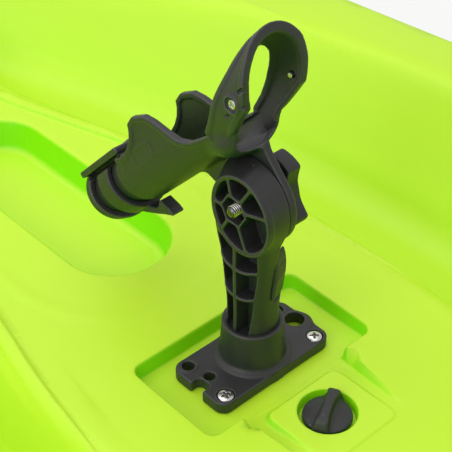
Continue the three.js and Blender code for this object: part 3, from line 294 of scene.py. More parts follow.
CORNERS = np.array([(i, j, k) for i in (0, 1) for j in (0, 1) for k in (0, 1)])
CELL_EDGES = [(a, b) for a in range(8) for b in range(a + 1, 8) if np.abs(CORNERS[a] - CORNERS[b]).sum() == 1]


def skin(field, rows):
    """Points and four-sided faces over the zero level of a field, faces turned outwards."""
    field = np.ascontiguousarray(field, np.float32)
    inside = field < 0
    last = np.array(inside.shape) - 1
    count = sum(inside[tuple(slice(a, a + b) for a, b in zip(corner, last))].astype(np.int8)
                for corner in CORNERS)
    cells = np.argwhere((count > 0) & (count < 8))
    number = np.full(count.shape, -1, np.int32)
    number[tuple(cells.T)] = np.arange(len(cells))
    values = np.stack([field[tuple((cells + c).T)] for c in CORNERS], 1)
    total = np.zeros((len(cells), 3))
    hits = np.zeros(len(cells))
    for a, b in CELL_EDGES:
        va, vb = values[:, a], values[:, b]
        cut = (va < 0) != (vb < 0)
        t = np.where(cut, va / np.where(cut, va - vb, 1), 0)
        total += np.where(cut[:, None], CORNERS[a] + t[:, None] * (CORNERS[b] - CORNERS[a]), 0)
        hits += cut
    start = np.array([row.ravel()[0] for row in rows])
    cell = float(rows[0].ravel()[1] - rows[0].ravel()[0])
    points = start + cell * (cells + total / hits[:, None])
    faces = []
    for axis in range(3):
        side = [slice(1, -1)] * 3
        low, high = list(side), list(side)
        low[axis], high[axis] = slice(0, -1), slice(1, None)
        first, second = inside[tuple(low)], inside[tuple(high)]
        u, v = (axis + 1) % 3, (axis + 2) % 3
        for forward in (True, False):
            places = np.argwhere((first & ~second) if forward else (~first & second))
            corner = places.copy()
            corner[:, [u, v]] += 1
            steps = [(0, 0), (-1, 0), (-1, -1), (0, -1)]
            loop = []
            for du, dv in (steps if forward else steps[::-1]):
                c = corner.copy()
                c[:, u] += du
                c[:, v] += dv
                loop.append(number[tuple(c.T)])
            faces.append(np.stack(loop, 1))
    return points, np.concatenate(faces)


def mesh_of(name, points, faces):
    """Mesh from points in millimetres and rows of equal faces."""
    mesh = bpy.data.meshes.new(name)
    faces = np.asarray(faces, np.int32)
    mesh.vertices.add(len(points))
    mesh.vertices.foreach_set("co", (np.asarray(points, np.float64) * MM).astype(np.float32).ravel())
    mesh.loops.add(faces.size)
    mesh.loops.foreach_set("vertex_index", faces.ravel())
    mesh.polygons.add(len(faces))
    mesh.polygons.foreach_set("loop_start", np.arange(0, faces.size, faces.shape[1], dtype=np.int32))
    mesh.update(calc_edges=True)
    mesh.validate()
    return mesh


def solid_mesh(name, bm):
    """Mesh of a closed bmesh with its faces turned outwards."""
    bmesh.ops.recalc_face_normals(bm, faces=bm.faces)
    mesh = bpy.data.meshes.new(name)
    bm.to_mesh(mesh)
    bm.free()
    return mesh


def rows_of(mesh, kind="co"):
    """The places of a mesh's points, or with "normal" their directions, one row each."""
    flat = np.empty(len(mesh.vertices) * 3)
    mesh.vertices.foreach_get(kind, flat)
    return flat.reshape(-1, 3)


def put(name, data):
    """A new object in the scene."""
    made = bpy.data.objects.new(name, data)
    bpy.context.scene.collection.objects.link(made)
    return made


def shift(x, y, z):
    """A move in millimetres."""
    return Matrix.Translation((x * MM, y * MM, z * MM))


def piece(name, mesh, body, look, stands_for=None, place=None):
    """Puts a mesh in the scene as a visible piece of a body."""
    if place is not None:
        mesh.transform(place)
        if place.determinant() < 0:
            mesh.flip_normals()
    mesh.shade_smooth()
    mesh.materials.append(finish(look))
    made = put(name, mesh)
    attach(made, body)
    if stands_for:
        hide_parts(stands_for)
    return made


def moulded(name, field, rows, body, look, stands_for=None, place=None):
    """Piece whose skin follows a field, softened like a moulding."""
    made = piece(name, mesh_of(name, *skin(field, rows)), body, look, stands_for, place)
    return soften(made, 1)


def soften(made, times):
    """Rounds a piece's edges after its other modifiers."""
    smooth = made.modifiers.new("Soft edges", "SMOOTH")
    smooth.factor, smooth.iterations = 0.5, times
    return apply_modifiers(made)


def apply_modifiers(made):
    """Keeps what the modifiers show as the piece's own mesh."""
    bpy.context.view_layer.update()
    shown = made.evaluated_get(bpy.context.evaluated_depsgraph_get())
    mesh = bpy.data.meshes.new_from_object(shown)
    made.modifiers.clear()
    old, made.data = made.data, mesh
    mesh.name = made.name
    bpy.data.meshes.remove(old)
    return made


def lathe(profile, sides=96):
    """Points and faces of a body turned about z from a closed profile of radius and height."""
    rows = np.array(profile, float)
    a = np.linspace(0, 2 * math.pi, sides, endpoint=False)
    points = np.stack([np.outer(rows[:, 0], np.cos(a)), np.outer(rows[:, 0], np.sin(a)),
                       np.repeat(rows[:, 1:], sides, 1)], 2).reshape(-1, 3)
    n = len(rows)
    faces = [(i * sides + j, i * sides + (j + 1) % sides, (i + 1) % n * sides + (j + 1) % sides,
              (i + 1) % n * sides + j) for i in range(n) for j in range(sides)]
    return points, np.array(faces)


# Shader maths.

class Wire:
    """A shader output that takes part in sums."""

    def __init__(self, finish, socket):
        self.finish, self.socket = finish, socket

    def __add__(self, other): return self.finish.calc("ADD", self, other)
    def __radd__(self, other): return self.finish.calc("ADD", other, self)
    def __sub__(self, other): return self.finish.calc("SUBTRACT", self, other)
    def __mul__(self, other): return self.finish.calc("MULTIPLY", self, other)
    def __rmul__(self, other): return self.finish.calc("MULTIPLY", other, self)
    def __pow__(self, other): return self.finish.calc("POWER", self, other)


class Finish:
    """A material and the nodes that make it."""

    def __init__(self, name, **constants):
        self.material = bpy.data.materials.new(name)
        self.material.use_nodes = True
        self.tree = self.material.node_tree
        self.shader = self.tree.nodes["Principled BSDF"]
        self.out = self.tree.nodes["Material Output"]
        for socket, value in constants.items():
            self.shader.inputs[socket.replace("_", " ")].default_value = value

    def node(self, kind, settings=(), sockets=(), out=0):
        made = self.tree.nodes.new("ShaderNode" + kind)
        for name, value in dict(settings).items():
            if name == "stops":
                for i, (place, tone) in enumerate(value):
                    stop = made.color_ramp.elements[i] if i < 2 else made.color_ramp.elements.new(place)
                    stop.position, stop.color = place, tone
            else:
                setattr(made, name, value)
        for name, value in dict(sockets).items():
            if isinstance(value, Wire):
                self.tree.links.new(value.socket, made.inputs[name])
            else:
                made.inputs[name].default_value = value
        return Wire(self, made.outputs[out])

    def calc(self, operation, *terms):
        return self.node("Math", {"operation": operation}, dict(enumerate(terms)))

    def noise(self, scale, detail, roughness=0.5):
        return self.node("TexNoise", {}, {"Scale": scale, "Detail": detail, "Roughness": roughness,
                                          "Vector": self.coords()})

    def bands(self, direction, scale, distortion=0.0):
        return self.node("TexWave", {"wave_type": "BANDS", "bands_direction": direction},
                         {"Scale": scale, "Distortion": distortion, "Vector": self.coords()})

    def coords(self):
        if not hasattr(self, "object_coords"):
            self.object_coords = self.node("TexCoord", out="Object")
        return self.object_coords

    def axis(self, k, vector=None):
        """The x, y or z part of the place, or of another vector, for 0, 1 or 2."""
        return self.node("SeparateXYZ", {}, {0: self.coords() if vector is None else vector}, k)

    def up(self):
        """How far the surface looks up: 1 up, 0 sideways, -1 down."""
        return self.axis(2, self.node("NewGeometry", out="Normal"))

    def pointiness(self):
        """Above one half on edges, below it in grooves."""
        return self.node("NewGeometry", out="Pointiness")

    def between(self, value, low, high):
        """The share of the way that a value is between two numbers."""
        return self.node("MapRange", {"clamp": True}, {0: value, 1: low, 2: high, 3: 0.0, 4: 1.0})

    def blend(self, first, second, share):
        return self.node("Mix", {"data_type": "RGBA"}, {0: share, 6: first, 7: second}, 2)

    def bump(self, height, distance, strength):
        return self.node("Bump", {}, {"Height": height, "Distance": distance, "Strength": strength})

    def feed(self, **links):
        for name, wire in links.items():
            self.tree.links.new(wire.socket, self.shader.inputs[name.replace("_", " ")])
        return self.material


def tone(rgb, factor=1.0):
    """A colour made lighter or darker, with its alpha."""
    return (*[min(1.0, c * factor) for c in rgb], 1.0)


# The pockets of the console, in metres: their middle along the kayak, and the edges of the painted bounce
# light and shade round them.
POCKETS_X, PAINTED_SHADE_ALONG, PAINTED_SHADE_ACROSS = 0.51, (0.28, 0.27), (0.1, 0.094)
# The pivot's axis, round which the stud's thread valleys are painted dark as shade, and the heights over which
# the screws' recess turns to painted shade, in metres.
PIVOT_X, PIVOT_Z, RECESS_SHADE_Z = 0.38, 0.38, (0.23985, 0.2394)
# Lighter lime for scuffs. Painted bounce light and shade: deeper green on the console pockets' steep walls and
# dark green on black plastic that looks down, for light thrown back by lime walls and the lime deck; and
# painted shade in steel's grooves.
SCUFFED_LIME, SHADED_LIME, PAINTED_BOUNCE_GREEN = (0.64, 0.9, 0.1, 1), (0.26, 0.8, 0.0, 1), (0.006, 0.056, 0.003, 1)
PAINTED_GROOVE_SHADE = (0.05, 0.048, 0.04, 1)


def lime_finish(colours):
    f = Finish("lime_shell", IOR=1.42)
    cloudy = f.noise(9.0, 3.0)
    fine = f.noise(420.0, 2.0)
    body = f.blend(tone(colours.lime, 0.985), tone(colours.lime, 1.015), cloudy)
    scuffs = f.between(f.noise(60.0, 5.0, 0.65), 0.62, 0.72)
    body = f.blend(body, SCUFFED_LIME, scuffs * 0.1)
    # Painted bounce light and shade: steep walls near the console's pockets are painted a deeper green, for
    # light thrown between lime walls.
    inside = (f.between(f.calc("ABSOLUTE", f.axis(1)), *PAINTED_SHADE_ACROSS)
              * f.between(f.calc("ABSOLUTE", f.axis(0) - POCKETS_X), *PAINTED_SHADE_ALONG))
    body = f.blend(body, SHADED_LIME, inside * f.between(f.up(), 0.95, 0.35))
    return f.feed(Base_Color=body, Roughness=0.40 + 0.08 * cloudy + 0.05 * scuffs,
                  Normal=f.bump(fine, 0.00012, 0.35))


def black_finish(colours):
    f = Finish("black_plastic", IOR=1.5)
    cloudy = f.noise(45.0, 3.0)
    grain = f.noise(1500.0, 3.0, 0.6)
    edge = f.between(f.pointiness(), 0.51, 0.6)
    body = f.blend(tone(colours.black, 0.85), tone(colours.black, 1.2), cloudy)
    # Painted bounce light: faces that look down are painted dark green, for light thrown back by the lime
    # deck.
    body = f.blend(body, PAINTED_BOUNCE_GREEN, f.between(f.up(), 0.2, -0.8) * 0.8)
    # Convex edges painted lighter: partly wear, partly a painted highlight.
    body = f.blend(body, tone(colours.black, 5.0), edge * 0.7)
    return f.feed(Base_Color=body, Roughness=0.42 + 0.1 * cloudy - 0.04 * edge,
                  Normal=f.bump(grain, 0.00006, 0.5))


def steel_finish(colours, name="steel"):
    """Steel with its grooves painted dark as shade, found by distance from the stud's axis, by height in the
    screws or by shape.
    """
    f = Finish(name, Metallic=1.0)
    streaks = f.noise(700.0, 2.0)
    worn = f.noise(120.0, 3.0)
    if name == "threaded_steel":
        away = f.calc("SQRT", (f.axis(0) - PIVOT_X) ** 2 + (f.axis(2) - PIVOT_Z) ** 2)
        groove = f.between(away, 0.0042, 0.0038)
    elif name == "screw_steel":
        groove = f.between(f.axis(2), *RECESS_SHADE_Z)
    else:
        groove = f.between(f.pointiness(), 0.5, 0.42)
    body = f.blend(tone(colours.steel, 0.8), tone(colours.steel, 1.0), worn)
    # Painted shade: thread valleys, the screws' recess and hollows are painted dark.
    body = f.blend(body, PAINTED_GROOVE_SHADE, groove * 0.85)
    return f.feed(Base_Color=body, Roughness=0.16 + 0.16 * streaks, Normal=f.bump(streaks, 0.00003, 0.4))


def brass_finish(colours):
    f = Finish("brass", Metallic=1.0)
    rings = f.bands("Z", 500.0, 0.4)
    body = f.blend(tone(colours.brass, 0.8), tone(colours.brass, 1.15), rings)
    return f.feed(Base_Color=body, Roughness=0.28 + 0.14 * rings, Normal=f.bump(rings, 0.0001, 0.5))


def rubber_finish(colours):
    f = Finish("rubber")
    specks = f.noise(900.0, 3.0)
    body = f.blend(tone(colours.rubber, 0.8), tone(colours.rubber, 1.5), specks)
    return f.feed(Base_Color=body, Roughness=0.78 + 0.12 * specks, Normal=f.bump(specks, 0.00008, 0.6))


def cloth_finish(colours):
    f = Finish("seat_fabric", Sheen_Weight=0.25, Sheen_Roughness=0.5)
    scale = 2 * math.pi / bpy.context.scene.kayak_seat.weave
    warp = f.calc("SINE", f.axis(1) * scale)
    weft = f.calc("SINE", (f.axis(0) + f.axis(2)) * scale)
    threads = 0.5 + 0.5 * (warp * weft)
    mottle = f.noise(160.0, 3.0)
    body = f.blend(tone(colours.cloth, 0.6), tone(colours.cloth, 1.5), threads * 0.7 + mottle * 0.3)
    return f.feed(Base_Color=body, Roughness=0.85 + 0.1 * mottle, Normal=f.bump(threads, 0.0004, 0.7))


def thread_finish(colours):
    f = Finish("seat_thread", Sheen_Weight=0.2)
    twist = f.bands("DIAGONAL", 400.0)
    body = f.blend(tone(colours.thread, 0.7), tone(colours.thread, 1.1), twist)
    return f.feed(Base_Color=body, Roughness=0.7 + 0.1 * twist, Normal=f.bump(twist, 0.0002, 0.6))


MAKERS = {"lime": lime_finish, "black": black_finish, "brass": brass_finish, "rubber": rubber_finish,
          "cloth": cloth_finish, "thread": thread_finish, "steel": steel_finish,
          "threaded": lambda colours: steel_finish(colours, "threaded_steel"),
          "screw": lambda colours: steel_finish(colours, "screw_steel")}
# The look of each material slot, and the slot of each look.
LOOKS = {"lime_shell": "lime", "black_plastic": "black", "steel": "steel", "brass": "brass",
         "rubber": "rubber", "seat_fabric": "cloth"}
SLOTS = {look: slot for slot, look in LOOKS.items()}
SLOTS.update(threaded="steel", screw="steel", thread="seat_fabric")
made_finishes = {}


def finish(look):
    """One of the kayak's finishes, made when it is first asked for."""
    if look not in made_finishes:
        made_finishes[look] = MAKERS[look](bpy.context.scene.kayak_finishes)
    return made_finishes[look]


# Hull lines: the same shares as the solids, in millimetres.

PLAN = through([(-1, .025), (-.985, .1), (-.95, .22), (-.85, .46), (-.7, .7), (-.5, .88), (-.25, .975),
                (0, 1), (.22, 1), (.4, .93), (.6, .76), (.75, .565), (.87, .36), (.95, .18),
                (.985, .085), (1, .025)])
KEEL = through([(-1, 1), (-.97, .6), (-.9, .25), (-.8, .07), (-.66, 0), (.62, 0), (.78, .06), (.9, .24),
                (.97, .6), (1, 1)])
CROWN = through([(-1, 0), (-.95, .02), (-.85, .045), (-.76, .03), (-.7, 0), (-.28, 0), (-.2, -.03),
                 (-.1, -.3), (.1, -.3), (.5, -.2), (.62, 0), (.7, .06), (.85, .055), (.95, .02), (1, 0)])
CONSOLE = through([(-1, 1), (.24, 1), (.3, .97), (.37, .86), (.427, .7), (.5, .47), (.56, .3), (.62, .15),
                   (1, .1)])
CONSOLE_TOP = through([(-.02, .62), (.0656, .69), (.13, .748), (.181, .79), (.2185, .8085), (.2776, .815),
                       (.328, .8267), (.62, .8267)])
CONSOLE_BLEND = (-.08, .02, .51, .62)
MID_BOTTOM = np.array([(0, 0), (.09, 0), (.16, .035), (.3, .065), (.43, .035), (.5, 0), (.63, 0), (.76, .07),
                       (.88, .21), (.96, .45), (1, .78), (.995, .92)])
END_BOTTOM = np.array([(0, 0), (.07, .012), (.16, .05), (.28, .11), (.4, .18), (.5, .25), (.62, .36),
                       (.74, .49), (.85, .63), (.93, .76), (1, .9), (.995, .96)])
# Outline of a footwell, as shares of its length and of half the beam.
FOOT_START, FOOT_LONG = 62, 840
FOOT = np.array([(0, .44), (.229, .437), (.424, .43), (.526, .405), (.619, .36), (.704, .3), (.78, .245),
                 (.86, .2), (.93, .178), (.98, .195), (1, .24), (.985, .3), (.93, .365), (.85, .435),
                 (.76, .51), (.66, .59), (.54, .65), (.4, .683), (.229, .7), (0, .7)])
# Console bead in millimetres: distance along and distance from the middle.
BEAD = through([(230, 170), (322, 160), (387, 151), (454, 142), (521, 128), (600, 110), (690, 84), (780, 58),
                (860, 42)])
BEAD_RISE = 2.2
# The deck lies lower from a way inside the beads. Then the rim's soft line and the lip round the tray.
STEP_IN, STEP_FALL, RIM_LINE, RIM_SOFT, LIP, LIP_SOFT = 26, 0.54, 1.3, 3.2, 0.8, 4.0


class Pocket(NamedTuple):
    """A sunk form of the deck: floor, the wall's draft, the rounds at foot and brow, spacing of its points."""
    outline: np.ndarray
    floor: float
    draft: float
    soft: float
    edge: float
    step: float
    slope: float = 0
    start: float = 0

    def bottom(self, x): return self.floor + self.slope * (x - self.start)

    def section(self, deep):
        """The wall's steepness and turn, the radius of foot and brow, and how far out the brow ends."""
        steep = 1 / self.draft
        lean = 1 / math.hypot(1, steep)
        turn, rise = steep * lean, 1 - lean
        fit = np.minimum(1, 0.96 * deep / ((self.edge + self.soft) * rise))
        brow, foot = self.edge * fit, self.soft * fit
        edge = (deep - (brow + foot) * rise) / steep + (foot + brow) * turn - foot - brow
        return steep, turn, foot, brow, edge

    def pressed(self, deck, x, d):
        """Height over floor, round foot, sloping wall and round brow, by the distance from the outline."""
        floor = self.bottom(x)
        deep = np.maximum(deck - floor, 0)
        steep, turn, foot, brow, edge = self.section(deep)
        low = np.clip(d + foot, 0, foot * turn)
        arc = (foot - np.sqrt(np.maximum(foot ** 2 - low ** 2, 0))
               + np.maximum(d + foot - foot * turn, 0) * steep)
        high = np.clip(brow - (d - edge), 0, brow * turn)
        drop = (brow - np.sqrt(np.maximum(brow ** 2 - high ** 2, 0))
                + np.maximum(brow - d + edge - brow * turn, 0) * steep)
        split = (foot * turn - foot + edge + brow - brow * turn) / 2
        return np.where(deep <= 0, deck, np.where(d < split, floor + arc, deck - drop))

    def bends(self, deep):
        """Distances from the outline at which the skin bends, for one depth."""
        _, turn, foot, brow, edge = self.section(deep)
        arcs = np.sin(np.radians([0, 15, 30, 45, 60, 75, 90])) * turn
        return np.concatenate((foot * arcs - foot, edge + brow - brow * arcs))


class Pad(NamedTuple):
    """A raised form of the deck with a soft edge."""
    outline: np.ndarray
    top: float
    fall: float
    edge: float

    def pressed(self, deck, x, d):
        soft, d = 1.2, d - .6
        off = np.where(d > soft, d, np.where(d < -soft, 0, (d + soft) ** 2 / (4 * soft)))
        return np.where(d < 13.4, soft_max(deck, self.top - self.fall * off, self.edge), deck)


class Hull:
    """Heights and outlines of the hull from its sizes."""

    def __init__(self, s, h):
        self.s, self.h = s, h
        self.half_long = s["long"] / 2
        self.hatch_x = HATCH_SHARE * self.half_long
        x0, top = h["x"], h["top"]
        foot = rounded(np.stack((FOOT_START + FOOT[:, 0] * FOOT_LONG, FOOT[:, 1] * s["beam"] / 2), 1))
        well = dict(floor=150, slope=.09, start=FOOT_START, draft=.5, soft=34, edge=22, step=5)
        tank = rounded([(-505, 232), (-545, 232), (-1070, 128), (-1130, 128), (-1130, -128), (-1070, -128),
                        (-545, -232), (-505, -232)], 4)
        drain = np.array([(x0 - 43, -50), (x0 - 43, 50), (x0 - 118, 42), (x0 - 118, -42)])
        self.pockets = [
            Pocket(round_rect(-330, 82, -214, 214, 70, 12), floor=150, draft=.22, soft=18, edge=12, step=6),
            Pocket(foot, **well),
            Pocket(foot[::-1] * (1, -1), **well),
            Pocket(round_rect(503, 757, -44, 38, 40.9, 16), floor=219, draft=.2, soft=7, edge=4, step=2.2),
            Pocket(round_rect(x0 - 44, x0 + 41, -79.5, 79.5, 7, 6), floor=top - RECESS_DEEP, draft=.09,
                   soft=2.2, edge=2.4, step=1.4),
            Pocket(drain, floor=237, slope=-.093, start=x0 - 118, draft=.2, soft=1.6, edge=1.8, step=1.4),
            Pocket(tank, floor=214, draft=.24, soft=20, edge=12, step=6),
            Pocket(ring(self.hatch_x, 0, 92.3, 128), floor=self.centre(self.hatch_x) - 9, draft=.06, soft=.6,
                   edge=1.6, step=3),
        ]
        for side in (1, -1):
            y = side * TUBE_Y
            self.pockets.append(Pocket(round_rect(TUBE_X - 58.3, TUBE_X + 58.3, y - 39.3, y + 39.3, 39.2, 12),
                                       floor=self.tube_floor(), draft=.1, soft=.4, edge=.9, step=3))
            x = side * HANDLE_SHARE * self.half_long
            self.pockets.append(Pocket(round_rect(x - 23.3, x + 23.3, -37.3, 37.3, 6, 5),
                                       floor=float(self.centre(x)) - 5, draft=.08, soft=.5, edge=1.2,
                                       step=2.5))
        self.pad = Pad(round_rect(x0 - 112, x0 - 51, -34, 34, 6, 5), top=top - 4, fall=2.0, edge=2.2)
        self.drain = Pocket(ring(x0 + DRAIN_X, 0, 21, 96), floor=top + DRAIN_Z, draft=.03, soft=.8, edge=1.6,
                            step=1.2)

    def tube_floor(self): return float(self.base(TUBE_X, TUBE_Y)) - 2

    def half_beam(self, x): return self.s["beam"] / 2 * PLAN(x / self.half_long)

    def sheer(self, x):
        u = x / self.half_long
        return self.s["height"] + np.where(u > 0, 62, 42) * u * u

    def keel(self, x): return np.where(x > 0, 178, 138) * KEEL(x / self.half_long)

    def rim(self, x):
        half = self.half_beam(x)
        return np.maximum(half - self.s["rim_width"], half * .72)

    def console(self, x):
        return np.minimum(self.s["console_half"] * CONSOLE(x / self.half_long), self.rim(x) * .7)

    def centre(self, x):
        u = x / self.half_long
        a, b, c, d = CONSOLE_BLEND
        weight = ease(u, a, b) * (1 - ease(u, c, d))
        return mix(self.sheer(x) + CROWN(u) * self.s["height"], self.s["height"] * CONSOLE_TOP(u), weight)

    def base(self, x, y):
        side = np.abs(y)
        edge, rim = self.console(x), self.rim(x)
        inner = mix(self.centre(x), self.sheer(x), ease(side, edge, rim))
        t = (side - rim) / (self.half_beam(x) - rim)
        return np.where(side <= rim, inner, self.sheer(x) - self.s["rim_fall"] * t * t)

    def details(self, x, y):
        """Moulded beads and soft lines that stand on the deck."""
        side = np.abs(y)
        along = ease(x, 225, 262) * (1 - ease(x, 800, 850))
        off = side - BEAD(x)
        half = self.s["bead_width"] / 2
        bead = self.s["bead_height"] * along * (ease(off, -half - BEAD_RISE, -half)
                                                * (1 - ease(off, half, half + BEAD_RISE)))
        step = STEP_FALL * along * (1 - ease(off + STEP_IN, -1.5, 1.5)) * (1 - ease(x, 420, 480))
        rim = RIM_LINE * np.exp(-((side - self.rim(x)) / RIM_SOFT) ** 2) * (1 - ease(np.abs(x), 1250, 1400))
        round_tray = outline_distance(x, y, round_rect(452, 800, -92, 92, 90, 16))
        return bead - step + rim + LIP * np.exp(-(round_tray / LIP_SOFT) ** 2)

    def deck(self, x, y):
        z = np.array(self.base(x, y) + self.details(x, y), float)
        for form in (*self.pockets, self.pad, self.drain):
            low, high = form.outline.min(0) - 60, form.outline.max(0) + 60
            near = (x > low[0]) & (x < high[0]) & (y > low[1]) & (y < high[1])
            z[near] = form.pressed(z[near], x[near], outline_distance(x[near], y[near], form.outline))
        return z

    def side_path(self, x):
        """One side of the skin from keel to rim at a station, as distances from the middle and heights."""
        u = abs(x / self.half_long)
        blend = ease(u, .5, .93)
        half, keel, sheer = float(self.half_beam(x)), float(self.keel(x)), float(self.sheer(x))
        path = mix(MID_BOTTOM, END_BOTTOM, blend) * (half, sheer - keel) + (0, keel)
        rim = float(self.rim(x))
        edge = mix(rim, half, .92)
        edge_z = sheer - self.s["rim_fall"] * .92 ** 2
        bulge = (mix(path[-1, 0], edge, .35), mix(path[-1, 1], edge_z, .72))
        path = np.concatenate((path, [bulge, (edge, edge_z)]))
        index = np.arange(len(path))
        places = np.concatenate((np.linspace(0, 8, 25), np.linspace(8.25, len(path) - 1, 21)))
        return np.stack([through(np.stack((index, column), 1))(places) for column in path.T], 1)


def contour_points(outline, distances, spacing):
    """Points along an outline at several distances from it, kept only where they lie at that distance."""
    after = np.roll(outline, -1, 0)
    lengths = np.hypot(*(after - outline).T)
    total = lengths.sum()
    at = np.concatenate(([0], np.cumsum(lengths)))
    places = np.linspace(0, total, max(8, int(total / spacing)), endpoint=False)
    i = np.clip(np.searchsorted(at, places, "right") - 1, 0, len(outline) - 1)
    t = ((places - at[i]) / np.maximum(lengths[i], 1e-9))[:, None]
    along = (after - outline) / np.maximum(lengths[:, None], 1e-9)
    corner = along + np.roll(along, 1, 0)
    corner /= np.maximum(np.hypot(*corner.T)[:, None], 1e-9)
    tangent = mix(corner[i], np.roll(corner, -1, 0)[i], t)
    tangent /= np.maximum(np.hypot(*tangent.T)[:, None], 1e-9)
    area = np.sum(outline[:, 0] * after[:, 1] - after[:, 0] * outline[:, 1])
    normal = np.stack((tangent[:, 1], -tangent[:, 0]), 1) * np.sign(area)
    base = mix(outline[i], after[i], t)
    points = np.concatenate([base + normal * d for d in distances])
    wanted = np.repeat(distances, len(base))
    actual = outline_distance(points[:, 0], points[:, 1], outline)
    return points[np.abs(actual - wanted) < 0.25 + 0.02 * np.abs(wanted)]


def underside(hull, stations):
    """Points and faces of the skin below the deck, and the line at which it ends as distances and heights."""
    paths = np.array([hull.side_path(x) for x in stations])
    rings = [np.concatenate((np.stack((-p[:0:-1, 0], p[:0:-1, 1]), 1), p)) for p in paths]
    width = len(rings[0])
    points = np.array([(x, y, z) for x, rows in zip(stations, rings) for y, z in rows])
    faces = [(i * width + j, (i + 1) * width + j, (i + 1) * width + j + 1, i * width + j + 1)
             for i in range(len(stations) - 1) for j in range(width - 1)]
    return points, faces, paths[:, -1, 0], paths[:, -1, 1]


# Distances at which points follow the pad, the drain's well, the beads and the rim's line.
PAD_ROWS, DRAIN_ROWS = [-1.2, -.4, .2, .8, 1.6, 2.6, 3.8, 5.0], [-.8, -.4, 0, .3, .6, .9, 1.3, 1.9, 2.6]
BEAD_ROWS, RIM_ROWS = (-7.4, -6, -4.75, -2.5, 0, 2.5, 4.75, 6, 7.4), (-6, -3, -1.5, 0, 1.5, 3, 6)


def bend_points(hull):
    """Points along every bend of the deck, and the bands round the outlines that they fill."""
    samples, bands = [], []
    for p in hull.pockets:
        deep = hull.base(p.outline[:, 0], p.outline[:, 1]) - p.bottom(p.outline[:, 0])
        depths = np.maximum(np.quantile(deep, (0.02, 0.35, 0.65, 0.98)), 0.5)
        steps = np.unique(np.round(np.concatenate([p.bends(v) for v in depths]), 2))
        steps = steps[np.concatenate(([True], np.diff(steps) > 0.1 * p.step))]
        samples.append(contour_points(p.outline, steps, p.step))
        bands.append((p.outline, steps.min() - p.step * .5, steps.max() + p.step * .5))
    samples.append(contour_points(hull.pad.outline, np.array(PAD_ROWS), 1.6))
    bands.append((hull.pad.outline, -2.0, 5.8))
    samples.append(contour_points(hull.drain.outline, np.array(DRAIN_ROWS), hull.drain.step))
    bands.append((hull.drain.outline, -1.4, 3.2))
    console, long = np.arange(226, 858, 3.0), np.arange(-1380, 1380, 8.0)
    for side in (1, -1):
        samples += [np.stack((console, side * (BEAD(console) + off)), 1) for off in BEAD_ROWS]
        samples += [np.stack((long, side * (hull.rim(long) + off)), 1) for off in RIM_ROWS]
    return samples, bands


def even_points(low, high, step):
    x, y = np.meshgrid(np.arange(low[0], high[0], step), np.arange(low[1], high[1], step), indexing="ij")
    return np.stack((x.ravel(), y.ravel()), 1)


def filler_points(bands):
    """Even points for the rest of the deck, closer over the console, with the bands left free."""
    wide = even_points((-1518, -390), (1519, 391), 11.0)
    wide = wide[~((wide[:, 0] > 226) & (wide[:, 0] < 882) & (np.abs(wide[:, 1]) < 203))]
    filler = np.concatenate((even_points((230, -200), (880, 201), 4.5), wide))
    for outline, low, high in bands:
        near = ((filler > outline.min(0) - 60) & (filler < outline.max(0) + 60)).all(1)
        d = outline_distance(filler[near, 0], filler[near, 1], outline)
        free = np.ones(len(filler), bool)
        free[np.flatnonzero(near)[(d > low) & (d < high)]] = False
        filler = filler[free]
    return filler


def hull_mesh(hull):
    """Closed outer skin of the hull."""
    end = hull.half_long
    near = 0.9 * end
    stations = np.unique(np.concatenate((np.linspace(-end, -near, 40), np.linspace(-near, near, 330),
                                         np.linspace(near, end, 40))))
    under, under_faces, edge_y, edge_z = underside(hull, stations)
    samples, bands = bend_points(hull)
    points = np.concatenate([*samples, filler_points(bands)])
    room = np.interp(points[:, 0], stations, edge_y) - np.abs(points[:, 1])
    points = points[(room > 3.0) & (np.abs(points[:, 0]) < end - 3)]
    apart = np.unique(np.round(points / 0.35).astype(np.int64), axis=0, return_index=True)[1]
    points = points[np.sort(apart)]
    border = np.concatenate((np.stack((stations, -edge_y), 1), np.stack((stations[::-1], edge_y[::-1]), 1)))
    n = len(border)
    result = geometry.delaunay_2d_cdt([Vector(p) for p in np.concatenate((border, points))],
                                      [(i, (i + 1) % n) for i in range(n)], [], 0, 1e-5, False)
    deck_xy, tris = np.array([tuple(v) for v in result[0]]), np.array(result[2])
    centre = deck_xy[tris].mean(1)
    tris = tris[np.abs(centre[:, 1]) < np.interp(centre[:, 0], stations, edge_y)]
    deck_z = hull.deck(deck_xy[:, 0], deck_xy[:, 1])
    on_edge = np.abs(np.abs(deck_xy[:, 1]) - np.interp(deck_xy[:, 0], stations, edge_y)) < 1e-3
    deck_z[on_edge] = np.interp(deck_xy[on_edge, 0], stations, edge_z)
    bm = bmesh.new()
    verts = [bm.verts.new(p * MM) for p in np.concatenate((under, np.column_stack((deck_xy, deck_z))))]
    for face in (*under_faces, *(tris + len(under))):
        bm.faces.new([verts[i] for i in face])
    bmesh.ops.remove_doubles(bm, verts=bm.verts, dist=2e-5)
    bmesh.ops.delete(bm, geom=[v for v in bm.verts if not v.link_faces], context="VERTS")
    bmesh.ops.holes_fill(bm, edges=[e for e in bm.edges if e.is_boundary], sides=0)
    bmesh.ops.triangulate(bm, faces=[f for f in bm.faces if len(f.verts) > 4])
    return solid_mesh("kayak_shell", bm)


def bar_tool(bm, radius, low, high, x, y, sides=48, lean=0.0):
    """Adds a closed round bar to a cutting mesh, leaning aft about its foot on the deck."""
    made = bmesh.ops.create_cone(bm, cap_ends=True, segments=sides, radius1=radius * MM, radius2=radius * MM,
                                 depth=(high - low) * MM)
    bmesh.ops.translate(bm, verts=made["verts"], vec=(0, 0, (low + high) / 2 * MM))
    bmesh.ops.transform(bm, matrix=shift(x, y, 0) @ Matrix.Rotation(-lean, 4, "Y"), verts=made["verts"])
    return made["verts"]


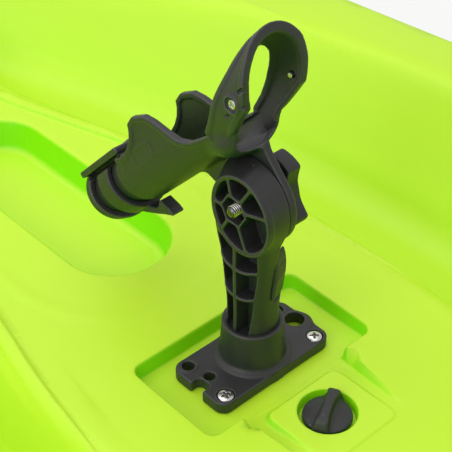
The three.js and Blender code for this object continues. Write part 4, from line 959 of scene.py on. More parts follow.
class KAYAK_OT_hull(bpy.types.Operator):
    """Builds the hull's outer skin with its wells, beads and holes"""
    bl_idname = "kayak.hull"
    bl_label = "Hull"

    def execute(self, context):
        scene = context.scene
        hull = Hull(sizes(scene.kayak_hull), sizes(scene.kayak_holder))
        shell = piece("kayak_shell", hull_mesh(hull), "hull_body", "lime", "hull")
        bm = bmesh.new()
        for along, across in SCUPPERS:
            for side in (1, -1):
                bar_tool(bm, 11, -30, 330, along * hull.half_long, side * across * hull.s["beam"] / 2)
        holder, top = hull.h["x"], hull.h["top"]
        bar_tool(bm, 9.3, top + DRAIN_Z - 26, top, holder + DRAIN_X, 0)
        for side in (1, -1):
            bar_tool(bm, 6.35, top - RECESS_DEEP - 17, top, holder + SCREW_X, side * SCREW_Y)
        deck = float(hull.centre(hull.hatch_x))
        bar_tool(bm, 75.4, deck - 60, deck + 30, hull.hatch_x, 0, 96)
        for side in (1, -1):
            for v in bar_tool(bm, 26.9, -207, 30, TUBE_X, side * TUBE_Y, 64, TUBE_LEAN):
                v.co.z += hull.tube_floor() * MM
        tool = put("cutters", solid_mesh("cutters", bm))
        cut = shell.modifiers.new("Holes", "BOOLEAN")
        cut.operation, cut.solver, cut.object = "DIFFERENCE", "EXACT", tool
        apply_modifiers(shell)
        bpy.data.objects.remove(tool)
        shell.data.shade_smooth()
        return {"FINISHED"}


def at_holder(h, z=0.0):
    return shift(h["x"], 0, h["top"] + z)


def solid_box(node):
    """Lowest and highest corner of a solid in millimetres."""
    return [np.array(corner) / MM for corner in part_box(node)]


class KAYAK_OT_holder_base(bpy.types.Operator):
    """Builds the rod holder's plate and collar, with its screws"""
    bl_idname = "kayak.holder_base"
    bl_label = "Rod holder base"

    def execute(self, context):
        h = sizes(context.scene.kayak_holder)
        rows = x, y, z = grid((-32, -62, -11.5), (32, 57, 35.5), 0.62)
        half_x, half_y, thick = h["plate_along"] / 2, h["plate_across"] / 2, h["plate_thick"]
        plate = slab(rect(x, y, half_x, half_y, 9), z, -thick, 0, 1.3)
        eye = slab(disc(x, y + 48, 11), z, -thick, 0, 1.3)
        body = join(plate, eye, radius=3)
        flange = slab(disc(x, y, h["collar_radius"] + 3.8), z, -thick, 1.1, 0.8)
        lift = np.clip(z / h["collar_height"], 0, 1)
        collar = slab(np.hypot(x, y) - h["collar_radius"] + 1.9 * lift, z, -thick, h["collar_height"], 1.5)
        body = join(body, flange, radius=1.2)
        body = join(body, collar, radius=4.5)
        screwed = [disc(x - SCREW_X, y - j * SCREW_Y, 0) for j in (1, -1)]
        empty = [disc(x + SCREW_X, y - j * SCREW_Y, 0) for j in (1, -1)]
        body = join(body, *[slab(away - 7.4, z, -3, 0.5, 0.5) for away in (*empty, *screwed)], radius=0.5)
        body = take(body, *[np.maximum(away - 6.6, -2.4 - z) for away in screwed], radius=0.5)
        body = take(body, *[away - 4.6 for away in empty], radius=1.2)
        bore = np.maximum(np.hypot(x, y) - h["bore_radius"] + 1.6 * lift, -4 - z)
        body = take(body, bore, disc(x, y, 4), radius=1.4)
        body = take(body, rect(x, y - half_y - 6, 6, 15, 3.6), radius=1.2)
        body = take(body, disc(x - 2, y - 40.5, 4.2), disc(x - 3, y + 47, 7.4), radius=1.1)
        moulded("rod_holder_base", body, rows, "hull_body", "black", "rod_base", at_holder(h))
        self.screw(h, 1, 1)
        self.screw(h, 2, -1)
        return {"FINISHED"}

    def screw(self, h, number, side):
        """Pan head screw with a cross recess."""
        rows = x, y, z = grid((-6.8, -6.8, -26.6), (6.8, 6.8, 2.0), 0.24)
        rise = -2.3
        dome = np.sqrt(x * x + y * y + (z + 11.6) ** 2) - 12.9
        head = keep(slab(disc(x, y, 6.1), z, rise, 1.4, 0.6), dome, radius=0.8)
        shank = slab(disc(x, y, 2.75), z, -26.2, rise + 1, 0.4)
        body = join(head, shank, radius=0.3)
        cross = np.minimum(rect(x, y, 3.4 + 0.25 * z, 0.75), rect(x, y, 0.75, 3.4 + 0.25 * z))
        core = disc(x, y, 1.5)
        body = take(body, np.maximum(join(cross, core, radius=0.4), -0.9 - z), radius=0.25)
        place = at_holder(h) @ shift(SCREW_X, side * SCREW_Y, 0) @ Matrix.Rotation(0.4 + number, 4, "Z")
        moulded(f"plate_screw_{number}", body, rows, "hull_body", "screw", f"rod_screw_{number}", place)


# The post's leg by its share of the height: half widths along and across in spigot radii, and squareness.
LEG = np.array([(0, 1, 1, 2), (.1, .99, .99, 2), (.2, .98, .98, 2), (.26, .94, .95, 2.1), (.36, .9, .92, 2.3),
                (.52, .99, .96, 2.6), (.68, 1.12, .98, 3), (.8, 1.28, .98, 3.6), (.9, 1.4, .97, 4)])
# Ribs of the post's head, as shares of a turn from ahead.
SPOKES = (.208, .339, .454, .683, .828, .992)
# The catch: its turn about the post, how far its slot lies inside the spigot, and the lever's height.
CATCH_TURN, CATCH_IN, LEVER_TALL = math.radians(200), 2.5, 46


class KAYAK_OT_post(bpy.types.Operator):
    """Builds the post with its windowed head, the nut, the threaded stud and the release lever"""
    bl_idname = "kayak.post"
    bl_label = "Post"

    def execute(self, context):
        h = sizes(context.scene.kayak_holder)
        pivot, radius = h["pivot_height"], h["head_radius"]
        rows = x, y, z = grid((-36, -23, -5.5), (36, 23, 176), 0.62)
        foot, spigot = -3.7, h["bore_radius"] - 0.35
        rise = (z - foot) / (pivot - foot)
        along, across, power = [through(LEG[:, [0, k]])(rise).astype(np.float32) for k in (1, 2, 3)]
        oval = (np.abs(x / (spigot * along)) ** power + np.abs(y / (spigot * across)) ** power) ** (1 / power)
        leg = slab((oval - 1) * spigot, z, foot, pivot, 1.2)
        # The side under the cradle's plate steps back.
        under, slant = pivot - 34.2, 26
        step = np.maximum(y + 1 - np.clip((under - z) / slant, 0, 1) * -18.7, under - slant - z)
        leg = take(leg, step, radius=1.5)
        share = np.clip((y + 1) / 21, 0, 1)
        u, w = x + 6.5 * share, z - pivot + share
        half_u, half_w = mix(radius, 27.5, share), mix(radius, 30.3, share)
        head = (np.sqrt((u / half_u) ** 2 + (w / half_w) ** 2) - 1) * 30
        head = slab(head, y, -1, 20, 1.3)
        body = join(leg, head, radius=4)
        fu, fw = x + 6.5, z - pivot + 1
        face = (np.sqrt((fu / 27) ** 2 + (fw / 29.8) ** 2) - 1) * 28.5
        hub = hexagon(x, z - pivot, 9.2)
        window = soft_max(face + 2.6, -(hub - 1.5), 2.0)
        for spoke in SPOKES:
            forward, aside = turned(x, z - pivot, spoke * 2 * math.pi)
            rib = np.where(forward > 0, np.abs(aside), np.hypot(forward, aside)) - 1.25
            window = soft_max(window, -rib, 2.4)
        window = np.maximum(window, 5.5 - y)
        well = np.maximum(hub, 6.2 - y)
        body = take(body, window, well, radius=0.9)
        lip = slab(np.abs(face + 0.2) - 0.9, y, 15, 20.5, 0.6)
        body = join(body, lip, radius=0.8)
        low, high = 30, 112
        half = through([(20, 10), (38, 11.3), (64, 14), (86, 17), (112, 19.5)])(z).astype(np.float32)
        panel = rect(x / half * 13.5, z - (low + high) / 2, 13.5, (high - low) / 2, 2)
        panel = soft_max(panel, 1.5 - np.abs(x), 1.6)
        for rung in (67, 92.5):
            curve = rung - 3 * (1 - np.minimum((x / 15.5) ** 2, 1))
            panel = soft_max(panel, 1.3 - np.abs(z - curve), 1.6)
        panel = soft_max(panel, -(face - 1.5), 1.6)
        body = take(body, np.maximum(panel, 5.5 - y), radius=0.9)
        outward, aside = turned(x, y, CATCH_TURN)
        slot = np.maximum(rect(aside, z - 83, 7.8, 26, 1.5), spigot - CATCH_IN - outward)
        body = take(body, slot, radius=0.6)
        body = take(body, disc(x, z - pivot, STUD_BORE), radius=0.4)
        body = take(body, np.maximum(hexagon(x, z - pivot, 7.5), 6.5 - y), radius=0.4)
        moulded("rod_post_moulding", body, rows, "post", "black", "rod_post", at_holder(h))
        self.nut(h)
        self.stud(h)
        self.lever(h, spigot)
        return {"FINISHED"}

    def nut(self, h):
        rows = x, y, z = grid((-9, 6.4, -9), (9, 13.2, 9), 0.28)
        chamfer = disc(x, z, 8.0) - (np.abs(y - 9.8) - 3) * -1.2
        field = keep(slab(hexagon(x, z, 7.2), y, 6.8, 12.8, 0.4), chamfer, radius=0.4)
        field = take(field, disc(x, z, STUD_BORE), radius=0.3)
        moulded("pivot_nut", field, rows, "post", "steel", "rod_nut", at_holder(h, h["pivot_height"]))

    def stud(self, h):
        """Threaded stud with a domed end, made turn by turn."""
        radius, pitch, sides = 4.35, 1.5, 48
        start, end, tip = -19.8, 23.6, 1.6
        along = np.arange(start, end - tip, pitch / 10)
        a = np.linspace(0, 2 * math.pi, sides, endpoint=False)
        wave = (along[:, None] / pitch + a[None, :] / (2 * math.pi)) % 1
        depth = 0.8 * np.clip(1.5 * (1 - np.abs(2 * wave - 1)) - 0.2, 0, 1)
        r = radius - depth
        ring_y = np.repeat(along[:, None], sides, 1)
        dome = np.linspace(0, 1, 7)[1:-1]
        dome_y = end - tip + tip * np.sin(dome * math.pi / 2)
        dome_r = 3.7 * np.cos(dome * math.pi / 2)
        r = np.concatenate((r, np.repeat(dome_r[:, None], sides, 1)))
        ring_y = np.concatenate((ring_y, np.repeat(dome_y[:, None], sides, 1)))
        points = np.stack((r * np.cos(a), ring_y, r * np.sin(a)), 2).reshape(-1, 3)
        n = len(r)
        faces = [(i * sides + j, (i + 1) * sides + j, (i + 1) * sides + (j + 1) % sides,
                  i * sides + (j + 1) % sides) for i in range(n - 1) for j in range(sides)]
        bm = bmesh.new()
        verts = [bm.verts.new(p * MM) for p in points]
        for face in faces:
            bm.faces.new([verts[i] for i in face])
        for first, place in ((0, start), ((n - 1) * sides, end)):
            middle = bm.verts.new((0, place * MM, 0))
            for j in range(sides):
                bm.faces.new([middle, verts[first + j], verts[first + (j + 1) % sides]])
        piece("pivot_stud", solid_mesh("pivot_stud", bm), "post", "threaded", "rod_stud",
              at_holder(h, h["pivot_height"]))

    def lever(self, h, spigot):
        inner, tall = spigot - CATCH_IN + .3, LEVER_TALL
        rows = x, y, z = grid((inner - 1, -9, -1), (inner + 9, 9, tall + 1), 0.5)
        outline = np.array([(inner - 1, 0), (inner + 2.2, 2), (inner + 3.3, tall * .3),
                            (inner + 4.4, tall * .5), (inner + 4.2, tall * .72), (inner + 2.4, tall * .9),
                            (inner, tall * .92)])
        field = slab(outline_distance(x, z, rounded(outline, 2)), y, -7.5, 7.5, 1.2)
        ribs = [np.hypot(x - inner - 3.9, z - s) - 0.8 for s in (22, 25, 28, 31)]
        field = join(field, *[np.maximum(rib, np.abs(y) - 5.5) for rib in ribs], radius=0.8)
        place = at_holder(h, 60) @ Matrix.Rotation(CATCH_TURN, 4, "Z")
        moulded("release_lever", field, rows, "release", "black", "rod_lever", place)


# The cradle's side view in tube radii: along it from the pivot and outwards from the tube's underside.
CRADLE_SIDE = np.array([(-7.5, -.8), (1.3, -.8), (1.42, -.1), (1.95, .3), (2.4, .42), (3.16, .62),
                        (3.62, 1.09), (4.08, 1.65), (4.42, 2.3), (3.85, 2.3), (3.66, 2.12), (3.05, 1.77),
                        (2.22, 1.4), (1.45, .99), (.96, .8), (.9, .66), (-.04, .8), (-.4, 1.0), (-.71, 1.34),
                        (-1.1, 1.86), (-1.42, 2.16), (-2.0, 2.34), (-2.38, 2.26), (-2.5, 2.08),
                        (-2.72, 1.88), (-3.05, 1.71), (-3.4, 1.61), (-3.8, 1.58), (-4.1, 1.7), (-4.2, 2.3),
                        (-7.5, 2.3)])
# The butt clip's fin from the side, in millimetres.
LEAF = np.array([(-136, 3), (-134, -2), (-126, -5.5), (-116, -9.5), (-106, -13), (-97, -17), (-95.5, -16),
                 (-97, -11), (-100.5, -5), (-102, -2), (-105, -2.5), (-108, -5), (-113, -5), (-119, -2),
                 (-125, .5), (-130, 2.5)])
# The cradle's lean and distance from the pivot, the place of the hoop's screws, the clamped plate's radius.
TILT, DROP, PIN_S, PIN_N, EAR = math.radians(46), 34.5, 69, 23, 33


class KAYAK_OT_cradle(bpy.types.Operator):
    """Builds the tilting cradle with its hoop, the clip round its butt end and the hoop's two screws"""
    bl_idname = "kayak.cradle"
    bl_label = "Cradle"

    def execute(self, context):
        h = sizes(context.scene.kayak_holder)
        radius, wall = h["tube_radius"], h["wall"]
        s_axis = Vector((-math.cos(TILT), 0, math.sin(TILT)))
        n_axis = Vector((math.sin(TILT), 0, math.cos(TILT)))
        turn = Matrix((s_axis, Vector((0, 1, 0)), n_axis)).transposed().to_4x4()
        place = at_holder(h, h["pivot_height"]) @ turn @ shift(0, 0, DROP)
        rows = s, y, n = grid((-164, -31, -70), (112, 31, 58), 0.8)
        outer = through([(-180, radius), (18, radius), (62, h["hoop_radius"]), (160, h["hoop_radius"])])(s)
        inner = through([(-180, 17.8), (-104, 17.8), (-100, radius - wall), (18, radius - wall),
                         (62, h["hoop_radius"] - wall), (160, h["hoop_radius"] - wall)])(s)
        outer, inner = outer.astype(np.float32), inner.astype(np.float32)
        middle = through([(-180, radius), (62, radius), (104, radius + 1.5)])(s).astype(np.float32)
        away = np.hypot(y, n - middle)
        neck = np.where((s > -158) & (s < -107), 21.0, outer).astype(np.float32)
        side = outline_distance(s, n, CRADLE_SIDE * radius)
        rim = ease(side, -5.2, -3.6).astype(np.float32)
        tube = away - neck - 1.1 * rim * (n > 8)
        walls = within(np.abs(y) - radius - 1.1 * rim, radius - n, np.abs(s + 52) - 44.8)
        nose = (np.sqrt(((s - 28) / 24) ** 2 + (y / 24) ** 2 + ((n - 6) / 13) ** 2) - 1) * 14
        body = join(tube, walls, radius=1.5)
        body = join(body, nose, radius=5)
        body = keep(body, side, radius=1.2)
        flange = slab(rect(s + 128, y, 33, 22, 2), n, 42, 47.2, 1.0)
        body = join(body, flange, radius=1.5)
        turns = np.radians(np.linspace(-170, -10, 25))
        ear_outline = [(EAR * math.cos(a), -DROP + EAR * math.sin(a)) for a in turns]
        ear_outline += [(EAR * 1.05, -DROP * .4), (EAR * 1.25, 18), (-EAR * 1.5, 18),
                        (-EAR * 1.25, DROP * .1), (-EAR * .98, -DROP * .5)]
        ear = slab(outline_distance(s, n, ear_outline), y, -7.3, -1.3, 1.0)
        body = join(body, ear, radius=5)
        body = take(body, np.maximum(disc(s, n + DROP, 34.5), -1.3 - y), radius=.3)
        bosses = [slab(disc(s - PIN_S, n - PIN_N, 6.5), y, start, start + 5, 1.0) for start in (24.1, -29.1)]
        body = join(body, *bosses, radius=2)
        floor = np.clip((radius - n) / radius, 0, 1) ** 3
        inner = inner + 0.019 * np.clip(s - 8, 0, 20) ** 2 * floor
        bore = away - inner + 2.0 * rim * ((s > 40) | (n > 14))
        body = take(body, bore, radius=1.0)
        gutter = within(np.abs(y) - radius + wall + 1.3 * rim, radius - n, np.abs(s + 49.6) - 47.2)
        body = take(body, gutter, radius=1.0)
        pins = np.minimum(disc(s - PIN_S, n - PIN_N, 2.3),
                          np.maximum(disc(s - PIN_S, n - PIN_N, 5.2), 27.2 - np.abs(y)))
        slots = [np.maximum(rect(s - a, n - b, c, d, .8), 25.6 - y) for a, b, c, d in
                 ((83, 27, 4.2, 1.1), (79, 17.5, 2.4, 1.0), (58, 19, 2.6, .9))]
        body = take(body, pins, disc(s, n + DROP, STUD_BORE), radius=0.6)
        body = take(body, *slots, radius=0.5)
        # Raised frame on the port wall.
        frame_line = np.abs(rect(s + 60, n - 31, 14, 6, 2.5)) - 0.8
        body = join(body, np.maximum(frame_line, np.abs(y - radius + 0.6) - 1.1), radius=0.5)
        moulded("cradle_moulding", body, rows, "cradle", "black", "rod_cradle", place)
        self.clip(h, place)
        self.pins(place)
        return {"FINISHED"}

    def clip(self, h, place):
        rows = s, y, n = grid((-158, -28, -20), (-76, 28, 42), 0.66)
        away = np.hypot(y, n - h["tube_radius"])
        band = slab(np.maximum(away - 25.8, 21.2 - away), s, -155, -120, 1.2)
        turn = np.arctan2(n - h["tube_radius"], y)
        slot = (np.sqrt(((s + 145) / 8) ** 2 + ((turn + .1) / 1.45) ** 2) - 1) * 8
        band = take(band, np.maximum(slot, 21.6 - away), radius=0.8)
        band = keep(band, n - 38, radius=1)
        field = join(band, slab(outline_distance(s, n, LEAF), y, -5.5, 5.5, 1.0), radius=1.6)
        moulded("butt_clip", field, rows, "cradle", "black", "rod_butt_clip", place)

    def pins(self, place):
        """Two short screws through the hoop's sides."""
        rows = s, y, n = grid((-4.8, -3.6, -4.8), (4.8, 3.6, 4.8), 0.22)
        shank, head = slab(disc(s, n, 1.9), y, -3.4, 1.2, 0.5), slab(disc(s, n, 3.3), y, 0.9, 2.5, 0.6)
        field = join(shank, head, radius=.4)
        cross = np.minimum(rect(s, n, 2.2, .5), rect(s, n, .5, 2.2))
        field = take(field, np.maximum(cross, 1.3 - y), radius=0.2)
        for name, side, turn in (("hoop_screw_port", 1, 0), ("hoop_screw_starboard", -1, math.pi)):
            spot = place @ shift(PIN_S, side * 25.4, PIN_N) @ Matrix.Rotation(turn, 4, "Z")
            moulded(name, field, rows, "cradle", "steel", place=spot)


class KAYAK_OT_knob(bpy.types.Operator):
    """Builds the three-lobed knob"""
    bl_idname = "kayak.knob"
    bl_label = "Knob"

    def execute(self, context):
        h = sizes(context.scene.kayak_holder)
        a = np.linspace(0, 360, 144, endpoint=False)
        reach = through([(0, 1), (14, 1), (19, .985), (23, .87), (28, .75), (36, .64), (46, .585), (60, .57)])
        r = h["knob_radius"] * reach(np.abs((a + 60) % 120 - 60))
        outline = np.stack((r * np.cos(np.radians(a + 106)), r * np.sin(np.radians(a + 106))), 1)
        rows = x, y, z = grid((-32, -27.6, -32), (32, -7, 32), 0.6)
        field = slab(outline_distance(x, z, outline), y, -26.1, -14.1, 1.0)
        dish = np.hypot(np.hypot(x, z), y + 44) - 20.5
        field = take(field, dish, radius=1.2)
        field = join(field, slab(disc(x, z, 10), y, -16, -9.1, 0.8), radius=2)
        field = take(field, np.maximum(disc(x, z, STUD_BORE), -20.1 - y), radius=0.4)
        moulded("star_knob", field, rows, "knob", "black", "rod_knob", at_holder(h, h["pivot_height"]))
        return {"FINISHED"}


class KAYAK_OT_drain(bpy.types.Operator):
    """Builds the drain plug and the two small moulded rings beside it"""
    bl_idname = "kayak.drain"
    bl_label = "Drain plug"

    def execute(self, context):
        h = sizes(context.scene.kayak_holder)
        rows = x, y, z = grid((-22, -22, -19.5), (22, 22, 17.6), 0.42)
        base = 2.1
        dome = np.sqrt(x * x + y * y + (z + 46) ** 2) - 55.1
        cap = keep(slab(disc(x, y, 18), z, base, 9.3, 1.1), dome, radius=1.0)
        thread = 8.7 + 0.35 * np.sin(2 * math.pi * (z / 2.4 + np.arctan2(y, x) / (2 * math.pi)))
        shank = slab(np.hypot(x, y) - np.where(z < base, thread, 8), z, -17.9, base + 1, 0.6)
        u, v = turned(x, y, math.radians(-62))
        rise, outward = np.clip((z - 4) / 13, 0, 1), (u / 21) ** 2
        grip = rect(u, v, 20.6 - 4.5 * rise ** 2, 4.8 - 1.9 * rise + 2.0 * outward, 2.2)
        grip = slab(grip, z, 3, 17.1, 1.2)
        grip = keep(grip, z - (17.0 - 2.6 * outward), radius=1.5)
        grip = keep(grip, disc(x, y, 20.4), radius=1)
        field = join(cap, grip, radius=3.2)
        field = join(field, shank, radius=0.5)
        place = shift(h["x"] + DRAIN_X, 0, h["top"] + DRAIN_Z)
        moulded("drain_plug_moulding", field, rows, "plug", "black", "drain_plug", place)
        a = np.radians(np.arange(0, 360, 45))
        profile = np.stack((1.9 + 0.5 * np.cos(a), 0.2 + 0.6 * np.sin(a)), 1)
        for number, (turn, reach) in enumerate(((63, 18.4), (84, 18.7)), 1):
            turn = math.radians(turn)
            piece(f"moulded_ring_{number}", mesh_of("ring", *lathe(profile, 40)), "hull_body", "lime",
                  place=place @ shift(reach * math.cos(turn), reach * math.sin(turn), 0))
        return {"FINISHED"}


class KAYAK_OT_hatch(bpy.types.Operator):
    """Builds the bow hatch: ring, lid with ribs and grip"""
    bl_idname = "kayak.hatch"
    bl_label = "Bow hatch"

    def execute(self, context):
        low, high = solid_box("hatch_ring")
        middle = (low + high) / 2
        floor = high[2] - 6.3
        foot = low[2] - floor
        profile = [(72.2, foot), (74.9, foot), (75.0, .3), (91.0, .3), (91.9, 1.4), (91.9, 3.6), (91.2, 5.3),
                   (89.6, 6.2), (84.0, 6.2), (83.4, 5.2), (73.6, 5.2), (72.6, 4.6)]
        place = shift(middle[0], middle[1], floor)
        rim = mesh_of("hatch_rim", *lathe(profile, 128))
        bevel(piece("hatch_rim", rim, "hull_body", "black", "hatch_ring", place), 0.6)
        top = solid_box("hatch_lid")[1][2] - floor
        base = top - 12 - 7
        rows = x, y, z = grid((-84, -84, -11), (84, 84, top + 1), 1.0)
        away = np.hypot(x, y)
        plate = slab(away - 81.8, z, base, base + 6.6, 1.8)
        groove = np.abs(away - 74) - 1.3
        field = take(plate, np.maximum(groove, base + 5.4 - z), radius=0.8)
        angle = np.arctan2(y, x)
        flutes = np.hypot(away - 83.6, (np.mod(angle, math.pi / 16) - math.pi / 32) * 82) - 3.4
        field = take(field, flutes, radius=1.2)
        wall = slab(np.maximum(away - 71.3, 68.4 - away), z, -9.8, base + 1, 0.6)
        rise = np.clip((z - base - 6) / 12, 0, 1)
        bar = rect(x, y, 45.5 - 4 * rise ** 2, 6.2 - 2.6 * rise + (x / 46) ** 2 * 1.2, 3)
        field = join(field, slab(bar, z, base + 3, top - .2, 1.6), radius=3.5)
        marks = [slab(rect(x, y - place_y, 1.2, 7, 1), z, base + 5, base + 7.4, 0.5) for place_y in (58, -58)]
        field = join(field, wall, *marks, radius=0.8)
        moulded("hatch_lid_moulding", field, rows, "lid", "black", "hatch_lid", place)
        return {"FINISHED"}


class KAYAK_OT_rod_tubes(bpy.types.Operator):
    """Builds the flush rod tubes behind the seat"""
    bl_idname = "kayak.rod_tubes"
    bl_label = "Flush rod tubes"

    def execute(self, context):
        for name, side in (("port", 1), ("starboard", -1)):
            low, high = solid_box(f"rod_tube_{name}")
            top = high[2]
            rows = x, y, z = grid((low[0] - TUBE_X - 2, -41, low[2] - top - 2),
                                  (high[0] - TUBE_X + 2, 41, 2), 1.15)
            plate = slab(rect(x, y, 57.8, 38.8, 38.7), z, -4.6, -0.15, 1.4)
            slant, along = turned(x, z + 4, -TUBE_LEAN)
            away = np.hypot(slant, y)
            tube = slab(away - 26.4, along, -202, 40, 1.0)
            tube = keep(tube, z + 2, radius=0.5)
            lip = slab(np.abs(away - 26.5) - 2.4, z, -4, -0.15, 1.0)
            field = join(plate, tube, radius=2)
            field = join(field, lip, radius=0.8)
            field = take(field, np.maximum(away - 24, -199.5 - along), radius=1.2)
            heads = [np.maximum(disc(x - i * 46, y, 2.6), -2.2 - z) for i in (1, -1)]
            field = take(field, *heads, radius=0.5)
            moulded(f"flush_tube_{name}", field, rows, "hull_body", "black", f"rod_tube_{name}",
                    shift(TUBE_X, side * TUBE_Y, top))
        return {"FINISHED"}


class KAYAK_OT_handles(bpy.types.Operator):
    """Builds the swinging carry handles and their bases"""
    bl_idname = "kayak.handles"
    bl_label = "Carry handles"

    def execute(self, context):
        for end, inboard in (("bow", -1), ("stern", 1)):
            low, high = solid_box(f"{end}_handle_base")
            middle = (low[0] + high[0]) / 2
            rows = x, y, z = grid((-25, -39, -2), (25, 39, 26), 0.75)
            base = slab(rect(x, y, 22.8, 36.8, 6), z, 0.15, 5, 1.3)
            ear = soft_max(rect(x, z - 8, 13.8 - 6 * np.clip(z / 24, 0, 1), 15.3, 6), z - 23.2, 1)
            field = join(base, *[slab(ear, y, start, start + 6, 1.2) for start in (30.9, -36.9)], radius=2.4)
            field = take(field, disc(x, z - 16, 5.0), radius=0.8)
            field = take(field, *[np.maximum(disc(x - i * 15, y, 3.4), 3 - z) for i in (1, -1)], radius=0.8)
            field = join(field, *[slab(disc(x - i * 15, y, 3.1), z, 1, 4.2, 0.9) for i in (1, -1)], radius=.2)
            moulded(f"{end}_handle_bracket", field, rows, "hull_body", "black", f"{end}_handle_base",
                    shift(middle, 0, low[2]))
            reach = inboard * 62
            rows = x, y, z = grid((min(0, reach) - 12, -48, -12), (max(0, reach) + 12, 48, 12), 0.85)
            corners = [(0, -42, 0), (0, 42, 0), (reach, 42, 0), (reach, -42, 0)]
            bars = [rod(x, y, z, corners[a], corners[b], 4.3) for a, b in ((0, 1), (1, 2), (0, 3), (3, 2))]
            swell = 9.6 - 0.6 * np.abs(np.sin(y * math.pi / 17.5)) ** 6 * 1.6 - 3.2 * ease(np.abs(y), 24, 36)
            grip = slab(np.hypot(x - reach, z) - swell, y, -37, 37, 2.2)
            field = join(*bars, radius=2.5)
            field = join(field, grip, radius=2)
            moulded(f"{end}_carry_handle", field, rows, f"{end}_grip", "black", f"{end}_handle",
                    shift(middle, 0, low[2] + 16))
        return {"FINISHED"}


def bevel(made, width):
    cut = made.modifiers.new("Rounded edges", "BEVEL")
    cut.width, cut.segments, cut.limit_method = width * MM, 3, "ANGLE"
    cut.angle_limit = math.radians(35)
    cut.harden_normals = False
    return apply_modifiers(made)


def copy_of(node, name, body, look):
    """A piece that starts from a solid's own form."""
    mesh = frame["nodes"][node].data.copy()
    mesh.name = name
    mesh.materials.clear()
    return piece(name, mesh, body, look, node)


def remeshed(made, cell):
    """Even, rounded mesh over a piece's form."""
    even = made.modifiers.new("Even cells", "REMESH")
    even.mode, even.voxel_size = "VOXEL", cell * MM
    soften(made, 3)
    made.data.shade_smooth()


# The filling's pressure, its frames, and how far it may move a point and lift a cover, in metres.
PRESSURE, FRAMES, FILL_REACH, FILL_RISE = 4, 20, 0.006, 0.004
# Sewn channels: the axis that they cross and their places on it, in metres, and their width.
CUSHION_SEAMS, PAD_SEAMS = (("y", 0.11), ("x", -0.16), ("x", -0.02)), (("z", 0.30), ("z", 0.36))
SEAM_WIDTH = 0.0045


